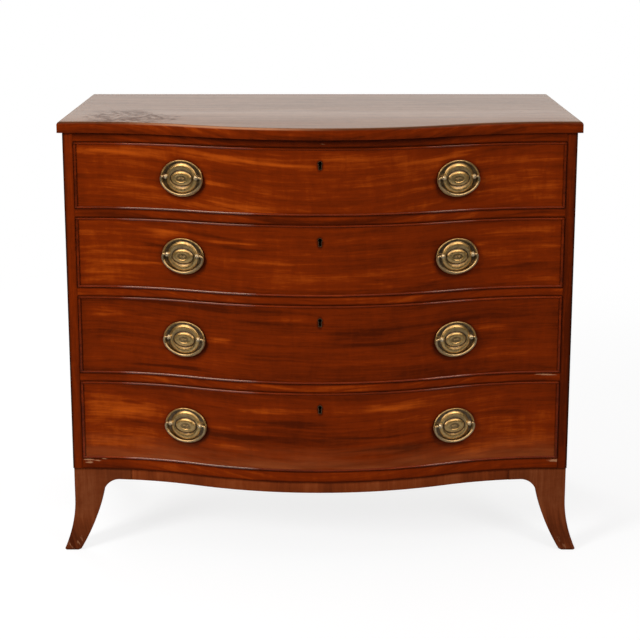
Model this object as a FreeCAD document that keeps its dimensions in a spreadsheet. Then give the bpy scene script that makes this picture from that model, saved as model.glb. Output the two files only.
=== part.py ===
import FreeCAD, Part
import math
import os
import re

import Sketcher
from FreeCAD import Vector

# Serpentine chest of four drawers, in millimetres.
# The front faces -Y, the floor is z = 0 and the middle of the whole box is x = y = 0.

os.makedirs("parts", exist_ok=True)
doc = FreeCAD.newDocument("serpentine_chest")

# Driving sizes: name, value, what it measures
SIZES = [
    ("case_width", 1042, "outside of the case, side to side"),
    ("case_depth", 490, "front of the corner stiles to the back"),
    ("side_thickness", 21, "case sides and corner stiles"),
    ("stile_depth", 20, "corner stile, front to back"),
    ("base_height", 176, "floor to the underside of the case"),
    ("bottom_rail_height", 22, "rail under the lowest drawer"),
    ("rail_thickness", 17, "rails between the drawers"),
    ("top_rail_height", 19, "rail under the top"),
    ("rail_depth", 60, "stile plane to the straight back of a rail"),
    ("opening_1", 138, "height of the top drawer's opening"),
    ("opening_2", 148, "height of the second opening"),
    ("opening_3", 166, "height of the third opening"),
    ("opening_4", 170, "height of the lowest opening"),
    ("front_bow", 84, "how far the middle of the front stands out"),
    ("flat_end", 15, "flat of the curve beside each stile"),
    ("turn_share", 0.532, "share of the half width where the curve turns"),
    ("top_thickness", 23, "top board"),
    ("top_bow", 106, "how far the middle of the top stands out"),
    ("top_overhang_front", 10, "top over the stiles"),
    ("top_overhang_side", 9, "top over the case sides"),
    ("top_edge_round", 7, "round of the top's upper edge"),
    ("tenon_length", 10, "rail tenon into the case side"),
    ("tenon_thickness", 8, "rail tenon, height"),
    ("tenon_depth", 32, "rail tenon, front to back"),
    ("board_thickness", 10, "back boards"),
    ("board_rebate", 12, "width of the rebate for the back boards"),
    ("board_gap", 0.5, "open joint between back boards"),
    ("bottom_thickness", 14, "case bottom"),
    ("runner_width", 28, "drawer runners and kickers"),
    ("dust_thickness", 6, "dust boards"),
    ("dust_tongue", 5, "dust board in the grooves of its frame"),
    ("back_rail_depth", 60, "rail under the top at the back"),
    ("stop_width", 40, "drawer stop, side to side"),
    ("stop_depth", 25, "drawer stop, front to back"),
    ("stop_height", 6, "drawer stop"),
    ("stop_place", 120, "middle of the chest to the middle of a stop"),
    ("seat_gap", 0.3, "between pieces that move on each other"),
    ("front_gap", 1.2, "drawer front to its opening, all round"),
    ("front_thickness", 22, "drawer front"),
    ("bead_thickness", 4.2, "cockbead"),
    ("bead_proud", 2.4, "cockbead in front of the drawer's face"),
    ("bead_depth", 8, "cockbead let into the front"),
    ("bead_round", 1.9, "round of the cockbead's front edges"),
    ("lining_thickness", 10, "drawer sides and back"),
    ("lining_drop", 3, "top of the linings below the top of the front"),
    ("tail_flare", 2.2, "dovetail, wider on each side at its end"),
    ("panel_thickness", 6, "drawer bottom"),
    ("panel_rise", 8, "drawer bottom above the sides' lower edge"),
    ("panel_tongue", 5, "drawer bottom in its grooves"),
    ("drawer_back_room", 12, "closed drawer to the back boards"),
    ("lock_width", 64, "drawer lock"),
    ("lock_height", 48, "drawer lock"),
    ("lock_let_in", 10, "lock let into the inside of the front"),
    ("lock_stand", 4, "lock proud of the inside of the front"),
    ("bolt_width", 30, "lock bolt"),
    ("bolt_depth", 6, "lock bolt, front to back"),
    ("bolt_height", 20, "lock bolt"),
    ("bolt_throw", 8, "how far a bolt shoots up"),
    ("mortise_room", 1, "room round a bolt in the rail above"),
    ("keyhole_drop", 30, "top of the drawer front to the keyhole"),
    ("keyhole_radius", 3.4, "round head of the keyhole"),
    ("keyhole_slot", 4, "width of the keyhole's slot"),
    ("keyhole_tail", 12, "keyhole centre to the foot of the slot"),
    ("escutcheon_wall", 1.3, "keyhole escutcheon"),
    ("escutcheon_depth", 6, "escutcheon in the drawer front"),
    ("escutcheon_proud", 0.4, "escutcheon in front of the drawer's face"),
    ("handle_share", 0.571, "share of the half width at a handle"),
    ("plate_width", 92, "oval handle plate"),
    ("plate_height", 75, "oval handle plate"),
    ("plate_thickness", 1.6, "handle plate's flat ground"),
    ("rim_width", 4, "raised rim round the plate"),
    ("rim_height", 3.2, "raised rim, from the plate's back"),
    ("dome_room", 1, "raised middle of the plate to the posts"),
    ("dome_height", 4, "raised middle, from the plate's back"),
    ("post_rise", 3, "posts above the middle of the plate"),
    ("post_radius", 5, "knob of a post"),
    ("shank_radius", 2.3, "post through the drawer front"),
    ("shank_room", 0.2, "room round a shank"),
    ("nut_side", 10, "square nut"),
    ("nut_thickness", 4, "square nut"),
    ("bail_radius", 2.4, "bail rod"),
    ("pin_radius", 1.8, "bail end in its post"),
    ("pin_room", 0.06, "room round a bail end"),
    ("pin_length", 7, "bail end in its post"),
    ("shoulder_room", 0.6, "bail shoulder to its post"),
    ("shoulder_length", 1.4, "straight of the bail beside a post"),
    ("bail_edge_side", 2.5, "plate's end to the bail's middle line"),
    ("bail_edge_low", 4.5, "plate's lower edge to the bail's middle line"),
    ("bail_end_bend", 4, "tight bend beside a post"),
    ("bail_side_bend", 24, "side bend of the bail"),
    ("base_inset", 1.5, "apron and feet behind the case faces"),
    ("apron_height", 24, "apron under the case"),
    ("apron_thickness", 20, "apron and foot brackets"),
    ("foot_reach", 123, "foot bracket from the corner inwards"),
    ("foot_flare", 23, "outward spread of the foot at the floor"),
    ("flare_start", 106, "height where the spread begins"),
    ("shoulder_reach", 98, "corner to the end of the foot's shoulder"),
    ("shoulder_bend", 36, "bend of the foot's shoulder"),
    ("shin_reach", 63, "corner to the foot's inner edge under the shoulder"),
    ("shin_height", 124, "height of that point"),
    ("shin_bend", 364, "bend of the foot's inner edge"),
    ("sole_reach", 12.5, "case corner to the inner end of the sole"),
    ("back_sole", 30, "sole of a back foot, front to back"),
    ("block_side", 28, "corner block in a foot"),
    ("block_lift", 92, "floor to a corner block"),
    ("screw_radius", 2.2, "top screw"),
    ("screw_head", 4.5, "top screw's head"),
    ("screw_head_height", 3, "top screw's head"),
    ("screw_grip", 12, "top screw in the top board"),
    ("screw_spread", 380, "middle screw to an outer screw"),
]

# Sizes worked out from the driving ones
WORKED = [
    ("case_half", "case_width / 2"),
    ("opening_half", "case_half - side_thickness"),
    ("back_y", "(case_depth + top_overhang_front + top_bow) / 2"),
    ("stile_y", "back_y - case_depth"),
    ("bow_half", "opening_half - flat_end"),
    ("bow_turn", "bow_half * turn_share"),
    ("front_angle", "2 * atan(front_bow / bow_half)"),
    ("front_round", "bow_turn / sin(front_angle)"),
    ("front_hollow", "(bow_half - bow_turn) / sin(front_angle)"),
    ("top_angle", "2 * atan(top_bow / bow_half)"),
    ("top_round", "bow_turn / sin(top_angle)"),
    ("top_hollow", "(bow_half - bow_turn) / sin(top_angle)"),
    ("floor_4", "base_height + bottom_rail_height"),
    ("floor_3", "floor_4 + opening_4 + rail_thickness"),
    ("floor_2", "floor_3 + opening_3 + rail_thickness"),
    ("floor_1", "floor_2 + opening_2 + rail_thickness"),
    ("rail_floor_1", "floor_1 + opening_1"),
    ("case_top", "rail_floor_1 + top_rail_height"),
    ("rail_back", "stile_y + rail_depth"),
    ("boards_y", "back_y - board_thickness"),
    ("front_half", "opening_half - front_gap"),
    ("lining_inner", "front_half - lining_thickness"),
    ("front_inside", "stile_y + front_thickness"),
    ("drawer_end", "boards_y - drawer_back_room"),
    ("middle_face", "stile_y - front_bow"),
    ("middle_inside", "middle_face + front_thickness"),
    ("bolt_y", "middle_inside - lock_let_in / 2 + lock_stand / 2 - bolt_depth / 2"),
    ("handle_x", "bow_half * handle_share"),
    ("handle_angle", "asin((bow_half - handle_x) / front_hollow)"),
    ("handle_y", "stile_y - front_hollow * (1 - cos(handle_angle))"),
    ("handle_lift", "plate_width * plate_width / (8 * front_hollow) + seat_gap"),
    ("pivot_stand", "rim_height + bail_radius + seat_gap"),
    ("bail_half", "plate_width / 2 - bail_edge_side"),
    ("bail_drop", "plate_height / 2 + post_rise - bail_edge_low"),
    ("shoulder", "bail_half - bail_end_bend - shoulder_length"),
    ("post_half", "shoulder - shoulder_room - post_radius"),
    ("dome_margin", "plate_width / 2 - post_half + post_radius + dome_room"),
    ("bail_fall", "bail_drop - bail_end_bend"),
    ("bail_low_bend", "(bail_half * bail_half + bail_fall * bail_fall - 2 * bail_half * bail_side_bend)"
                      " / (2 * (bail_fall - bail_side_bend))"),
    ("bail_pull", "bail_low_bend / (bail_low_bend - bail_side_bend)"),
    ("base_half", "case_half - base_inset"),
    ("base_front", "stile_y + base_inset"),
    ("apron_floor", "base_height - apron_height"),
    ("apron_half", "case_half - foot_reach"),
    ("flare_bend", "(flare_start * flare_start + foot_flare * foot_flare) / (2 * foot_flare)"),
]

sizes = doc.addObject("Spreadsheet::Sheet", "Sizes")
worked = doc.addObject("Spreadsheet::Sheet", "Worked")
WORD = re.compile(r"[a-z][a-z_0-9]*")
SHEET_OF = {name: "Sizes" for name, _, _ in SIZES}


def named(expression):
    """Put the sheet before every size named in an expression."""
    def full(match):
        word = match.group()
        return f"{SHEET_OF[word]}.{word}" if word in SHEET_OF else word
    return WORD.sub(full, expression)


for row, (name, number, note) in enumerate(SIZES, 1):
    sizes.set(f"A{row}", note)
    sizes.set(f"B{row}", str(number))
    sizes.setAlias(f"B{row}", name)
for row, (name, formula) in enumerate(WORKED, 1):
    worked.set(f"A{row}", name)
    worked.set(f"B{row}", "=" + named(formula))
    worked.setAlias(f"B{row}", name)
SHEET_OF.update({name: "Worked" for name, _ in WORKED})
doc.recompute()


def value(expression):
    """The number an expression of named sizes gives."""
    result = sizes.evalExpression(named(expression))
    return float(getattr(result, "Value", result))


def bind(obj, prop, expression):
    obj.setExpression(prop, named(expression))


def place(obj, x="0", y="0", z="0", turn=None):
    """Place an object by expressions; turn is an angle about z."""
    for axis, expression in zip("xyz", (x, y, z)):
        bind(obj, f"Placement.Base.{axis}", expression)
    if turn:
        bind(obj, "Placement.Rotation.Angle", turn)


# Shapes that the pieces are built from

def board(name, x, y, z):
    """A straight board: each of x, y and z is (start, length)."""
    box = doc.addObject("Part::Box", name)
    for prop, (_, length) in zip(("Length", "Width", "Height"), (x, y, z)):
        bind(box, prop, length)
    place(box, x[0], y[0], z[0])
    return box


def rod(name, radius, length, x="0", y="0", z="0", axis=None):
    """A cylinder along z, or along -y or x when axis says so."""
    turned = {"y": FreeCAD.Rotation(Vector(1, 0, 0), 90), "x": FreeCAD.Rotation(Vector(0, 1, 0), 90)}
    cylinder = doc.addObject("Part::Cylinder", name)
    bind(cylinder, "Radius", radius)
    bind(cylinder, "Height", length)
    if axis:
        cylinder.Placement = FreeCAD.Placement(Vector(), turned[axis])
    place(cylinder, x, y, z)
    return cylinder


def fuse(name, *objects):
    whole = doc.addObject("Part::MultiFuse", name)
    whole.Shapes = list(objects)
    return whole


def cut(name, base, *tools):
    result = doc.addObject("Part::Cut", name)
    result.Base = base
    result.Tool = tools[0] if len(tools) == 1 else fuse(name + "_tools", *tools)
    return result


def common(name, base, tool):
    result = doc.addObject("Part::Common", name)
    result.Base = base
    result.Tool = tool
    return result


def copy_of(name, source, x, y, z, turn=None):
    """The same piece again at another place."""
    link = doc.addObject("App::Link", name)
    link.LinkedObject = source
    place(link, x, y, z, turn)
    return link


def mirrored(name, source):
    """The same piece on the other side of the chest."""
    other = doc.addObject("Part::Mirroring", name)
    other.Source = source
    other.Normal = Vector(1, 0, 0)
    return other


def new_body(name):
    return doc.addObject("PartDesign::Body", name)


def new_sketch(body, plane, lift=None):
    """A sketch on one of the body's own planes, lifted along its normal."""
    origin = {feature.Role: feature for feature in body.Origin.OriginFeatures}
    sketch = body.newObject("Sketcher::SketchObject", body.Name + "_sketch")
    sketch.AttachmentSupport = (origin[plane + "_Plane"], [""])
    sketch.MapMode = "FlatFace"
    if lift:
        bind(sketch, "AttachmentOffset.Base.z", lift)
    return sketch


def arc_between(start, end, radius, side):
    """Arc from start to end, standing out to the left (side 1) or right (side -1) of that way."""
    chord = end - start
    half = chord.Length / 2
    left = Vector(-chord.y, chord.x, 0).normalize()
    rise = math.sqrt(max(radius * radius - half * half, 0))
    centre = (start + end) / 2 - left * (side * rise)
    first, last = (start, end) if side < 0 else (end, start)
    angles = [math.atan2(p.y - centre.y, p.x - centre.x) for p in (first, last)]
    if angles[1] < angles[0]:
        angles[1] += 2 * math.pi
    return Part.ArcOfCircle(Part.Circle(centre, Vector(0, 0, 1), radius), *angles)


def draw(sketch, line, closed=True):
    """Draw corners (x, y, bend) with every corner and bend bound to its expression.

    A bend is None for a straight edge to the next corner, or (radius, side) for an arc.
    """
    points = [Vector(value(x), value(y), 0) for x, y, _ in line]
    count = len(line) if closed else len(line) - 1
    ends = []
    for index in range(count):
        start, end = points[index], points[(index + 1) % len(line)]
        bend = line[index][2]
        if bend is None:
            geometry = sketch.addGeometry(Part.LineSegment(start, end))
            ends.append((geometry, 1, 2))
        else:
            radius, side = bend
            geometry = sketch.addGeometry(arc_between(start, end, value(radius), side))
            ends.append((geometry, 1, 2) if side < 0 else (geometry, 2, 1))
            number = sketch.addConstraint(Sketcher.Constraint("Radius", geometry, value(radius)))
            bind(sketch, f"Constraints[{number}]", radius)
    for index in range(count if closed else count - 1):
        this, following = ends[index], ends[(index + 1) % count]
        sketch.addConstraint(Sketcher.Constraint("Coincident", this[0], this[2], following[0], following[1]))
    for index, (x, y, _) in enumerate(line):
        geometry, where = (ends[index][0], ends[index][1]) if index < count else (ends[-1][0], ends[-1][2])
        for kind, expression in (("DistanceX", x), ("DistanceY", y)):
            constraint = Sketcher.Constraint(kind, -1, 1, geometry, where, value(expression))
            number = sketch.addConstraint(constraint)
            bind(sketch, f"Constraints[{number}]", expression)
    return sketch


def pad(body, sketch, length, midplane=False):
    feature = body.newObject("PartDesign::Pad", body.Name + "_pad")
    feature.Profile = sketch
    feature.Midplane = midplane
    bind(feature, "Length", length)
    return feature


def draw_circle(sketch, radius):
    """A circle about the sketch's origin with its radius bound."""
    circle = sketch.addGeometry(Part.Circle(Vector(), Vector(0, 0, 1), value(radius)))
    sketch.addConstraint(Sketcher.Constraint("Coincident", circle, 3, -1, 1))
    number = sketch.addConstraint(Sketcher.Constraint("Radius", circle, value(radius)))
    bind(sketch, f"Constraints[{number}]", radius)
    return sketch


def turned_line(line):
    """The same line of corners walked the other way."""
    backwards = []
    for index in range(len(line) - 1, -1, -1):
        bend = line[index - 1][2] if index else None
        flipped = (bend[0], -bend[1]) if bend else None
        backwards.append((line[index][0], line[index][1], flipped))
    return backwards


def front_line(offset, end, curve="front", on_hollow=False):
    """Corners of the serpentine line from left to right, standing out from the stile plane by offset.

    The ends lie on the flats beside the stiles, or on the hollows when on_hollow is set.
    """
    hollow = (f"{curve}_hollow - ({offset})", 1)
    rounded = (f"{curve}_round + ({offset})", -1)
    turn_x = f"({curve}_round + ({offset})) * sin({curve}_angle)"
    turn_y = f"stile_y - {curve}_bow + {curve}_round - ({curve}_round + ({offset})) * cos({curve}_angle)"
    flat = f"stile_y - ({offset})"
    middle = [(f"-({turn_x})", turn_y, rounded), (turn_x, turn_y, hollow)]
    if on_hollow:
        end_y = hollow_y(offset, end, curve)
        return [(f"-({end})", end_y, hollow), *middle, (end, end_y, None)]
    return [
        (f"-({end})", flat, None), ("-bow_half", flat, hollow), *middle,
        ("bow_half", flat, None), (end, flat, None),
    ]


def hollow_y(offset, x, curve="front"):
    """Where the serpentine line lies at x, in the hollow beside a flat."""
    return f"stile_y - {curve}_hollow + sqrt(({curve}_hollow - ({offset})) ^ 2 - (bow_half - ({x})) ^ 2)"


def serpentine_outline(front, end, back=None, back_offset=None, curve="front", on_hollow=False):
    """Closed outline with a serpentine front and a straight or parallel back."""
    line = front_line(front, end, curve, on_hollow)
    if back is not None:
        return line + [(end, back, None), (f"-({end})", back, None)]
    return line + turned_line(front_line(back_offset, end, curve, on_hollow))


def serpentine_board(name, z, height, **outline):
    body = new_body(name)
    pad(body, draw(new_sketch(body, "XY"), serpentine_outline(**outline)), height)
    place(body, z=z)
    return body


def bow_at(x, offset, curve="front"):
    """How far the serpentine line stands out at x, as a number."""
    x = abs(x)
    half, angle = value("bow_half"), math.radians(value(f"{curve}_angle"))
    rounded = value(f"{curve}_round") + offset
    hollow = value(f"{curve}_hollow") - offset
    if x >= half:
        return offset
    if x <= rounded * math.sin(angle):
        return value(f"{curve}_bow") + offset - rounded + math.sqrt(rounded ** 2 - x ** 2)
    return offset + hollow - math.sqrt(hollow ** 2 - (half - x) ** 2)


def round_front_edges(body, radius, offset, curve="front", heights=None, with_sides=None):
    """Round the long edges of a serpentine board along its front, and its side edges if asked."""
    doc.recompute()
    last = body.Tip
    chosen = []
    for number, edge in enumerate(last.Shape.Edges, 1):
        middle = edge.valueAt((edge.FirstParameter + edge.LastParameter) / 2)
        box = edge.BoundBox
        if box.ZLength > 1e-6 or (heights and min(abs(box.ZMin - level) for level in heights) > 1e-6):
            continue
        on_front = abs(value("stile_y") - bow_at(middle.x, offset, curve) - middle.y) < 1e-3
        along = box.XLength > 1e-6
        on_side = with_sides and abs(abs(middle.x) - value(with_sides)) < 1e-6 and box.XLength < 1e-6
        if (on_front and along) or on_side:
            chosen.append(f"Edge{number}")
    fillet = body.newObject("PartDesign::Fillet", body.Name + "_round")
    fillet.Base = (last, chosen)
    bind(fillet, "Radius", radius)


# Every piece handed on, by the name of its node
nodes = {}


def node(label, *objects):
    whole = objects[0]
    if len(objects) > 1 or whole.TypeId == "App::Link":
        whole = doc.addObject("Part::Compound", label)
        whole.Links = list(objects)
    whole.Label = label
    nodes[label] = whole


SIDES = (("left", "-"), ("right", ""))
DRAWERS = (1, 2, 3, 4)
TAILS = {1: 3, 2: 3, 3: 4, 4: 4}

# Top board with its rounded edge
top_blank = serpentine_board(
    "top_blank", "case_top", "top_thickness", front="top_overhang_front",
    end="case_half + top_overhang_side", back="back_y", curve="top",
)
round_front_edges(
    top_blank, "top_edge_round", value("top_overhang_front"), "top",
    heights=[value("top_thickness")], with_sides="case_half + top_overhang_side",
)

# Screws from the rails up into the top
screw = new_body("top_screw")
screw_profile = [
    ("0", "0", None), ("screw_head", "0", None), ("screw_radius", "screw_head_height", None),
    ("screw_radius", "top_rail_height + screw_grip", None), ("0", "top_rail_height + screw_grip", None),
]
screw_sketch = draw(new_sketch(screw, "XZ"), screw_profile)
screw_turn = screw.newObject("PartDesign::Revolution", "screw_turn")
screw_turn.Profile = screw_sketch
screw_turn.ReferenceAxis = (screw_sketch, ["V_Axis"])
screws = []
for number, x in enumerate(("-screw_spread", "0", "screw_spread")):
    for row, y in (("front", "rail_back - rail_depth / 4"), ("back", "boards_y - back_rail_depth / 2")):
        screws.append(copy_of(f"screw_{row}_{number}", screw, x, y, "rail_floor_1"))
node("top_screws", *screws)
node("top", cut("top_board", top_blank, *screws))

# Rails across the front, with a stub tenon into each side and a mortise for the bolt below
dust = {}
rails = {}
RAILS = {
    1: ("rail_floor_1", "top_rail_height"),
    2: ("floor_1 - rail_thickness", "rail_thickness"),
    3: ("floor_2 - rail_thickness", "rail_thickness"),
    4: ("floor_3 - rail_thickness", "rail_thickness"),
    5: ("base_height", "bottom_rail_height"),
}
for number, (z, height) in RAILS.items():
    blank = serpentine_board(f"rail_{number}_blank", z, height, front="0", end="opening_half", back="rail_back")
    tenons = [
        board(f"rail_{number}_{side}_tenon", (f"{sign}(opening_half) - {back}", "tenon_length + 1"),
              ("rail_back - tenon_depth", "tenon_depth"),
              (f"{z} + ({height} - tenon_thickness) / 2", "tenon_thickness"))
        for (side, sign), back in zip(SIDES, ("tenon_length", "1"))
    ]
    rail = fuse(f"rail_{number}_tenoned", blank, *tenons)
    tools = []
    if number < 5:
        tools.append(board(
            f"rail_{number}_mortise", ("-bolt_width / 2 - mortise_room", "bolt_width + 2 * mortise_room"),
            ("bolt_y - mortise_room", "bolt_depth + 2 * mortise_room"),
            (f"{z} - 1", "bolt_throw + mortise_room + 1"),
        ))
    if number in (2, 3, 4):
        dust[number] = board(
            f"dust_board_{number}",
            ("-opening_half + runner_width - dust_tongue", "2 * (opening_half - runner_width + dust_tongue)"),
            ("rail_back - dust_tongue", "boards_y - rail_back + dust_tongue"),
            (f"{z} + ({height} - dust_thickness) / 2", "dust_thickness"),
        )
        tools.append(dust[number])
    if number == 1:
        tools += [one for one in screws if "front" in one.Name]
    rails[number] = cut(f"rail_{number}", rail, *tools) if tools else rail
node("top_rail", rails[1])
node("drawer_rails", rails[2], rails[3], rails[4])
node("bottom_rail", rails[5])
node("dust_boards", *dust.values())

# Case sides, rebated for the back boards and mortised for the rails
for side, sign in SIDES:
    start = "opening_half" if side == "right" else "-case_half"
    blank = board(
        f"{side}_side_blank", (start, "side_thickness"),
        ("stile_y + stile_depth", "case_depth - stile_depth"), ("base_height", "case_top - base_height"),
    )
    rebate = board(
        f"{side}_rebate",
        ("opening_half - 1" if side == "right" else "-opening_half - board_rebate", "board_rebate + 1"),
        ("boards_y", "board_thickness + 1"), ("base_height - 1", "case_top - base_height + 2"),
    )
    node(f"{side}_side", cut(f"{side}_side_board", blank, rebate, *rails.values()))
node("corner_stiles", *(
    board(f"{side}_stile", ("opening_half" if side == "right" else "-case_half", "side_thickness"),
          ("stile_y", "stile_depth"), ("base_height", "case_top - base_height"))
    for side, _ in SIDES
))

# Boards of the back, upright in the rebates
BACK_BOARDS = 4
board_share = f"(2 * (opening_half + board_rebate) + board_gap) / {BACK_BOARDS}"
node("back_boards", *(
    board(f"back_board_{number + 1}",
          (f"-opening_half - board_rebate + {number} * {board_share}", f"{board_share} - board_gap"),
          ("boards_y", "board_thickness"), ("base_height", "case_top - base_height"))
    for number in range(BACK_BOARDS)
))
back_rail = board(
    "back_rail", ("-opening_half", "2 * opening_half"), ("boards_y - back_rail_depth", "back_rail_depth"),
    ("rail_floor_1", "top_rail_height"),
)
node("back_top_rail", cut("back_top_rail_board", back_rail, *(one for one in screws if "back" in one.Name)))
node("case_bottom", board(
    "bottom_board", ("-opening_half", "2 * opening_half"), ("rail_back", "boards_y - rail_back"),
    ("base_height", "bottom_thickness"),
))

# Runners beside the dust boards, on the case bottom, and kickers under the top
runners = []
for side, _ in SIDES:
    x = ("opening_half - runner_width" if side == "right" else "-opening_half", "runner_width")
    deep = ("rail_back", "boards_y - rail_back")
    for number, panel in dust.items():
        blank = board(f"{side}_runner_{number}_blank", x, deep, RAILS[number])
        runners.append(cut(f"{side}_runner_{number}", blank, panel))
    runners.append(board(f"{side}_runner_5", x, deep, (
        "base_height + bottom_thickness", "bottom_rail_height - bottom_thickness")))
    runners.append(board(
        f"{side}_kicker", x, ("rail_back", "boards_y - back_rail_depth - rail_back"), RAILS[1]))
node("drawer_runners", *runners)

# Stops on the rails, just behind the closed drawer fronts
stop_front = ("middle_face + front_round - sqrt((front_round - front_thickness) ^ 2"
              " - (stop_place + stop_width / 2) ^ 2) + seat_gap")
node("drawer_stops", *(
    board(f"{side}_stop_{number}", (f"{sign}(stop_place) - stop_width / 2", "stop_width"),
          (stop_front, "stop_depth"), (f"floor_{number}", "stop_height"))
    for number in DRAWERS for side, sign in SIDES
))

# Apron and splayed feet
HIGH = "base_height"
front_apron = serpentine_board(
    "front_apron", "apron_floor", "apron_height", front="-base_inset", end="apron_half",
    back_offset="-base_inset - apron_thickness", on_hollow=True,
)
side_aprons = [
    board(f"{side}_apron", ("base_half - apron_thickness" if side == "right" else "-base_half", "apron_thickness"),
          ("stile_y + foot_reach", "case_depth - 2 * foot_reach"), ("apron_floor", "apron_height"))
    for side, _ in SIDES
]
node("apron", front_apron, *side_aprons)

BEYOND = "3 * foot_flare"


def flared(name, plan, plane):
    """A plan outline carried down to the floor along the spread of the foot."""
    body = new_body(name)
    spine = new_sketch(body, plane)
    spread = [("0", HIGH, None), ("0", "flare_start", ("flare_bend", 1)), ("-foot_flare", "0", None)]
    draw(spine, spread, closed=False)
    outline = draw(new_sketch(body, "XY", lift=HIGH), plan)
    doc.recompute()
    pipe = body.newObject("PartDesign::AdditivePipe", name + "_spread")
    pipe.Profile = outline
    pipe.Spine = (spine, ["Edge1", "Edge2"])
    pipe.Mode = "Fixed"
    return body


def bracket_outline(corner, sign, sole, outer):
    """Face outline of a foot bracket, running inwards from a case corner; outer closes its outer side."""
    def inwards(reach):
        return f"{corner} {sign} ({reach})"
    side = 1 if sign == "+" else -1
    return [
        (inwards("foot_reach"), HIGH, None),
        (inwards("foot_reach"), "apron_floor", None),
        (inwards("shoulder_reach"), "apron_floor", ("shoulder_bend", -side)),
        (inwards("shin_reach"), "shin_height", ("shin_bend", side)),
        (inwards(sole), "0", None),
        *outer,
    ]


def through(name, plane, outline):
    body = new_body(name)
    pad(body, draw(new_sketch(body, plane), outline), "4 * case_depth", midplane=True)
    return body


past_x = f"-case_half - {BEYOND}"
past_y = f"stile_y - {BEYOND}"
corner_x, corner_y = "-base_half", "base_front"

# The mitre wedge takes everything beside the front bracket at the corner
mitre = doc.addObject("Part::Box", "mitre")
for prop in ("Length", "Width", "Height"):
    bind(mitre, prop, "4 * foot_reach")
mitre.Placement.Rotation = FreeCAD.Rotation(Vector(0, 0, 1), 45)
place(mitre, f"{corner_x} - foot_reach", f"{corner_y} - foot_reach", "-foot_reach")

inner_edge = "-apron_half"
front_plan = [
    (past_x, "base_front", None),
    ("-bow_half", "base_front", ("front_hollow + base_inset", 1)),
    (inner_edge, hollow_y("-base_inset", "apron_half"), None),
    (inner_edge, hollow_y("-base_inset - apron_thickness", "apron_half"),
     ("front_hollow + base_inset + apron_thickness", -1)),
    ("-bow_half", "base_front + apron_thickness", None),
    (past_x, "base_front + apron_thickness", None),
]
front_outer = [(past_x, "0", None), (past_x, HIGH, None)]
front_bracket = cut(
    "front_bracket",
    common("front_bracket_whole", flared("front_bracket_strip", front_plan, "YZ"),
           through("front_bracket_face", "XZ", bracket_outline("-case_half", "+", "sole_reach", front_outer))),
    mitre,
)
side_plan = [
    ("-base_half", past_y, None), ("-base_half + apron_thickness", past_y, None),
    ("-base_half + apron_thickness", "stile_y + foot_reach", None), ("-base_half", "stile_y + foot_reach", None),
]
side_outer = [(past_y, "0", None), (past_y, HIGH, None)]
side_bracket = common(
    "side_bracket",
    common("side_bracket_whole", flared("side_bracket_strip", side_plan, "XZ"),
           through("side_bracket_face", "YZ", bracket_outline("stile_y", "+", "sole_reach", side_outer))),
    mitre,
)
node("left_front_foot", front_bracket, side_bracket)
node("right_front_foot", mirrored("front_bracket_right", front_bracket), mirrored("side_bracket_right", side_bracket))

back_side_plan = [
    ("-base_half", "back_y - foot_reach", None), ("-base_half + apron_thickness", "back_y - foot_reach", None),
    ("-base_half + apron_thickness", "back_y", None), ("-base_half", "back_y", None),
]
back_outer = [("back_y", "0", None), ("back_y", HIGH, None)]
back_side_bracket = common(
    "back_side_bracket", flared("back_side_strip", back_side_plan, "XZ"),
    through("back_side_face", "YZ", bracket_outline("back_y", "-", "back_sole", back_outer)),
)
inside_x = "-base_half + apron_thickness"
back_face = new_body("back_bracket")
back_inner = [
    (f"{inside_x} - foot_flare", "0", ("flare_bend", -1)),
    (inside_x, "flare_start", None),
    (inside_x, HIGH, None),
]
pad(back_face, draw(new_sketch(back_face, "XZ"), bracket_outline("-case_half", "+", "sole_reach", back_inner)),
    "apron_thickness")
place(back_face, y="back_y")
node("left_back_foot", back_side_bracket, back_face)
node("right_back_foot", mirrored("back_side_right", back_side_bracket), mirrored("back_bracket_right", back_face))

blocks = []
for side, _ in SIDES:
    for end, y in (("front", "base_front + apron_thickness"), ("back", "back_y - apron_thickness - block_side")):
        x = "base_half - apron_thickness - block_side" if side == "right" else inside_x
        blocks.append(board(f"{side}_{end}_block", (x, "block_side"), (y, "block_side"),
                            ("block_lift", "base_height - block_lift")))
node("foot_blocks", *blocks)

# One handle: the plate's back lies in the XZ plane and its face looks along -Y


def oval(name, width, height, thickness):
    """An oval slab standing out from the XZ plane."""
    ellipse = doc.addObject("Part::Ellipse", name + "_line")
    bind(ellipse, "MajorRadius", f"({width}) / 2")
    bind(ellipse, "MinorRadius", f"({height}) / 2")
    ellipse.Placement = FreeCAD.Placement(Vector(), FreeCAD.Rotation(Vector(1, 0, 0), 90))
    slab = doc.addObject("Part::Extrusion", name)
    slab.Base = ellipse
    slab.DirMode = "Custom"
    slab.Dir = Vector(0, -1, 0)
    slab.Solid = True
    bind(slab, "LengthFwd", thickness)
    return slab


def less(margin):
    return f"plate_width - 2 * ({margin})", f"plate_height - 2 * ({margin})"


plate_rim = cut("plate_rim", oval("rim_outer", "plate_width", "plate_height", "rim_height"),
                oval("rim_inner", *less("rim_width"), "rim_height + 1"))
plate = cut(
    "plate",
    fuse("plate_whole", oval("plate_ground", "plate_width", "plate_height", "plate_thickness"), plate_rim,
         oval("plate_dome", *less("dome_margin"), "dome_height")),
    *(rod(f"plate_hole_{side}", "shank_radius + shank_room", "dome_height + 2", f"{sign}(post_half)", "1",
          "post_rise", axis="y") for side, sign in SIDES),
)

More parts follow.
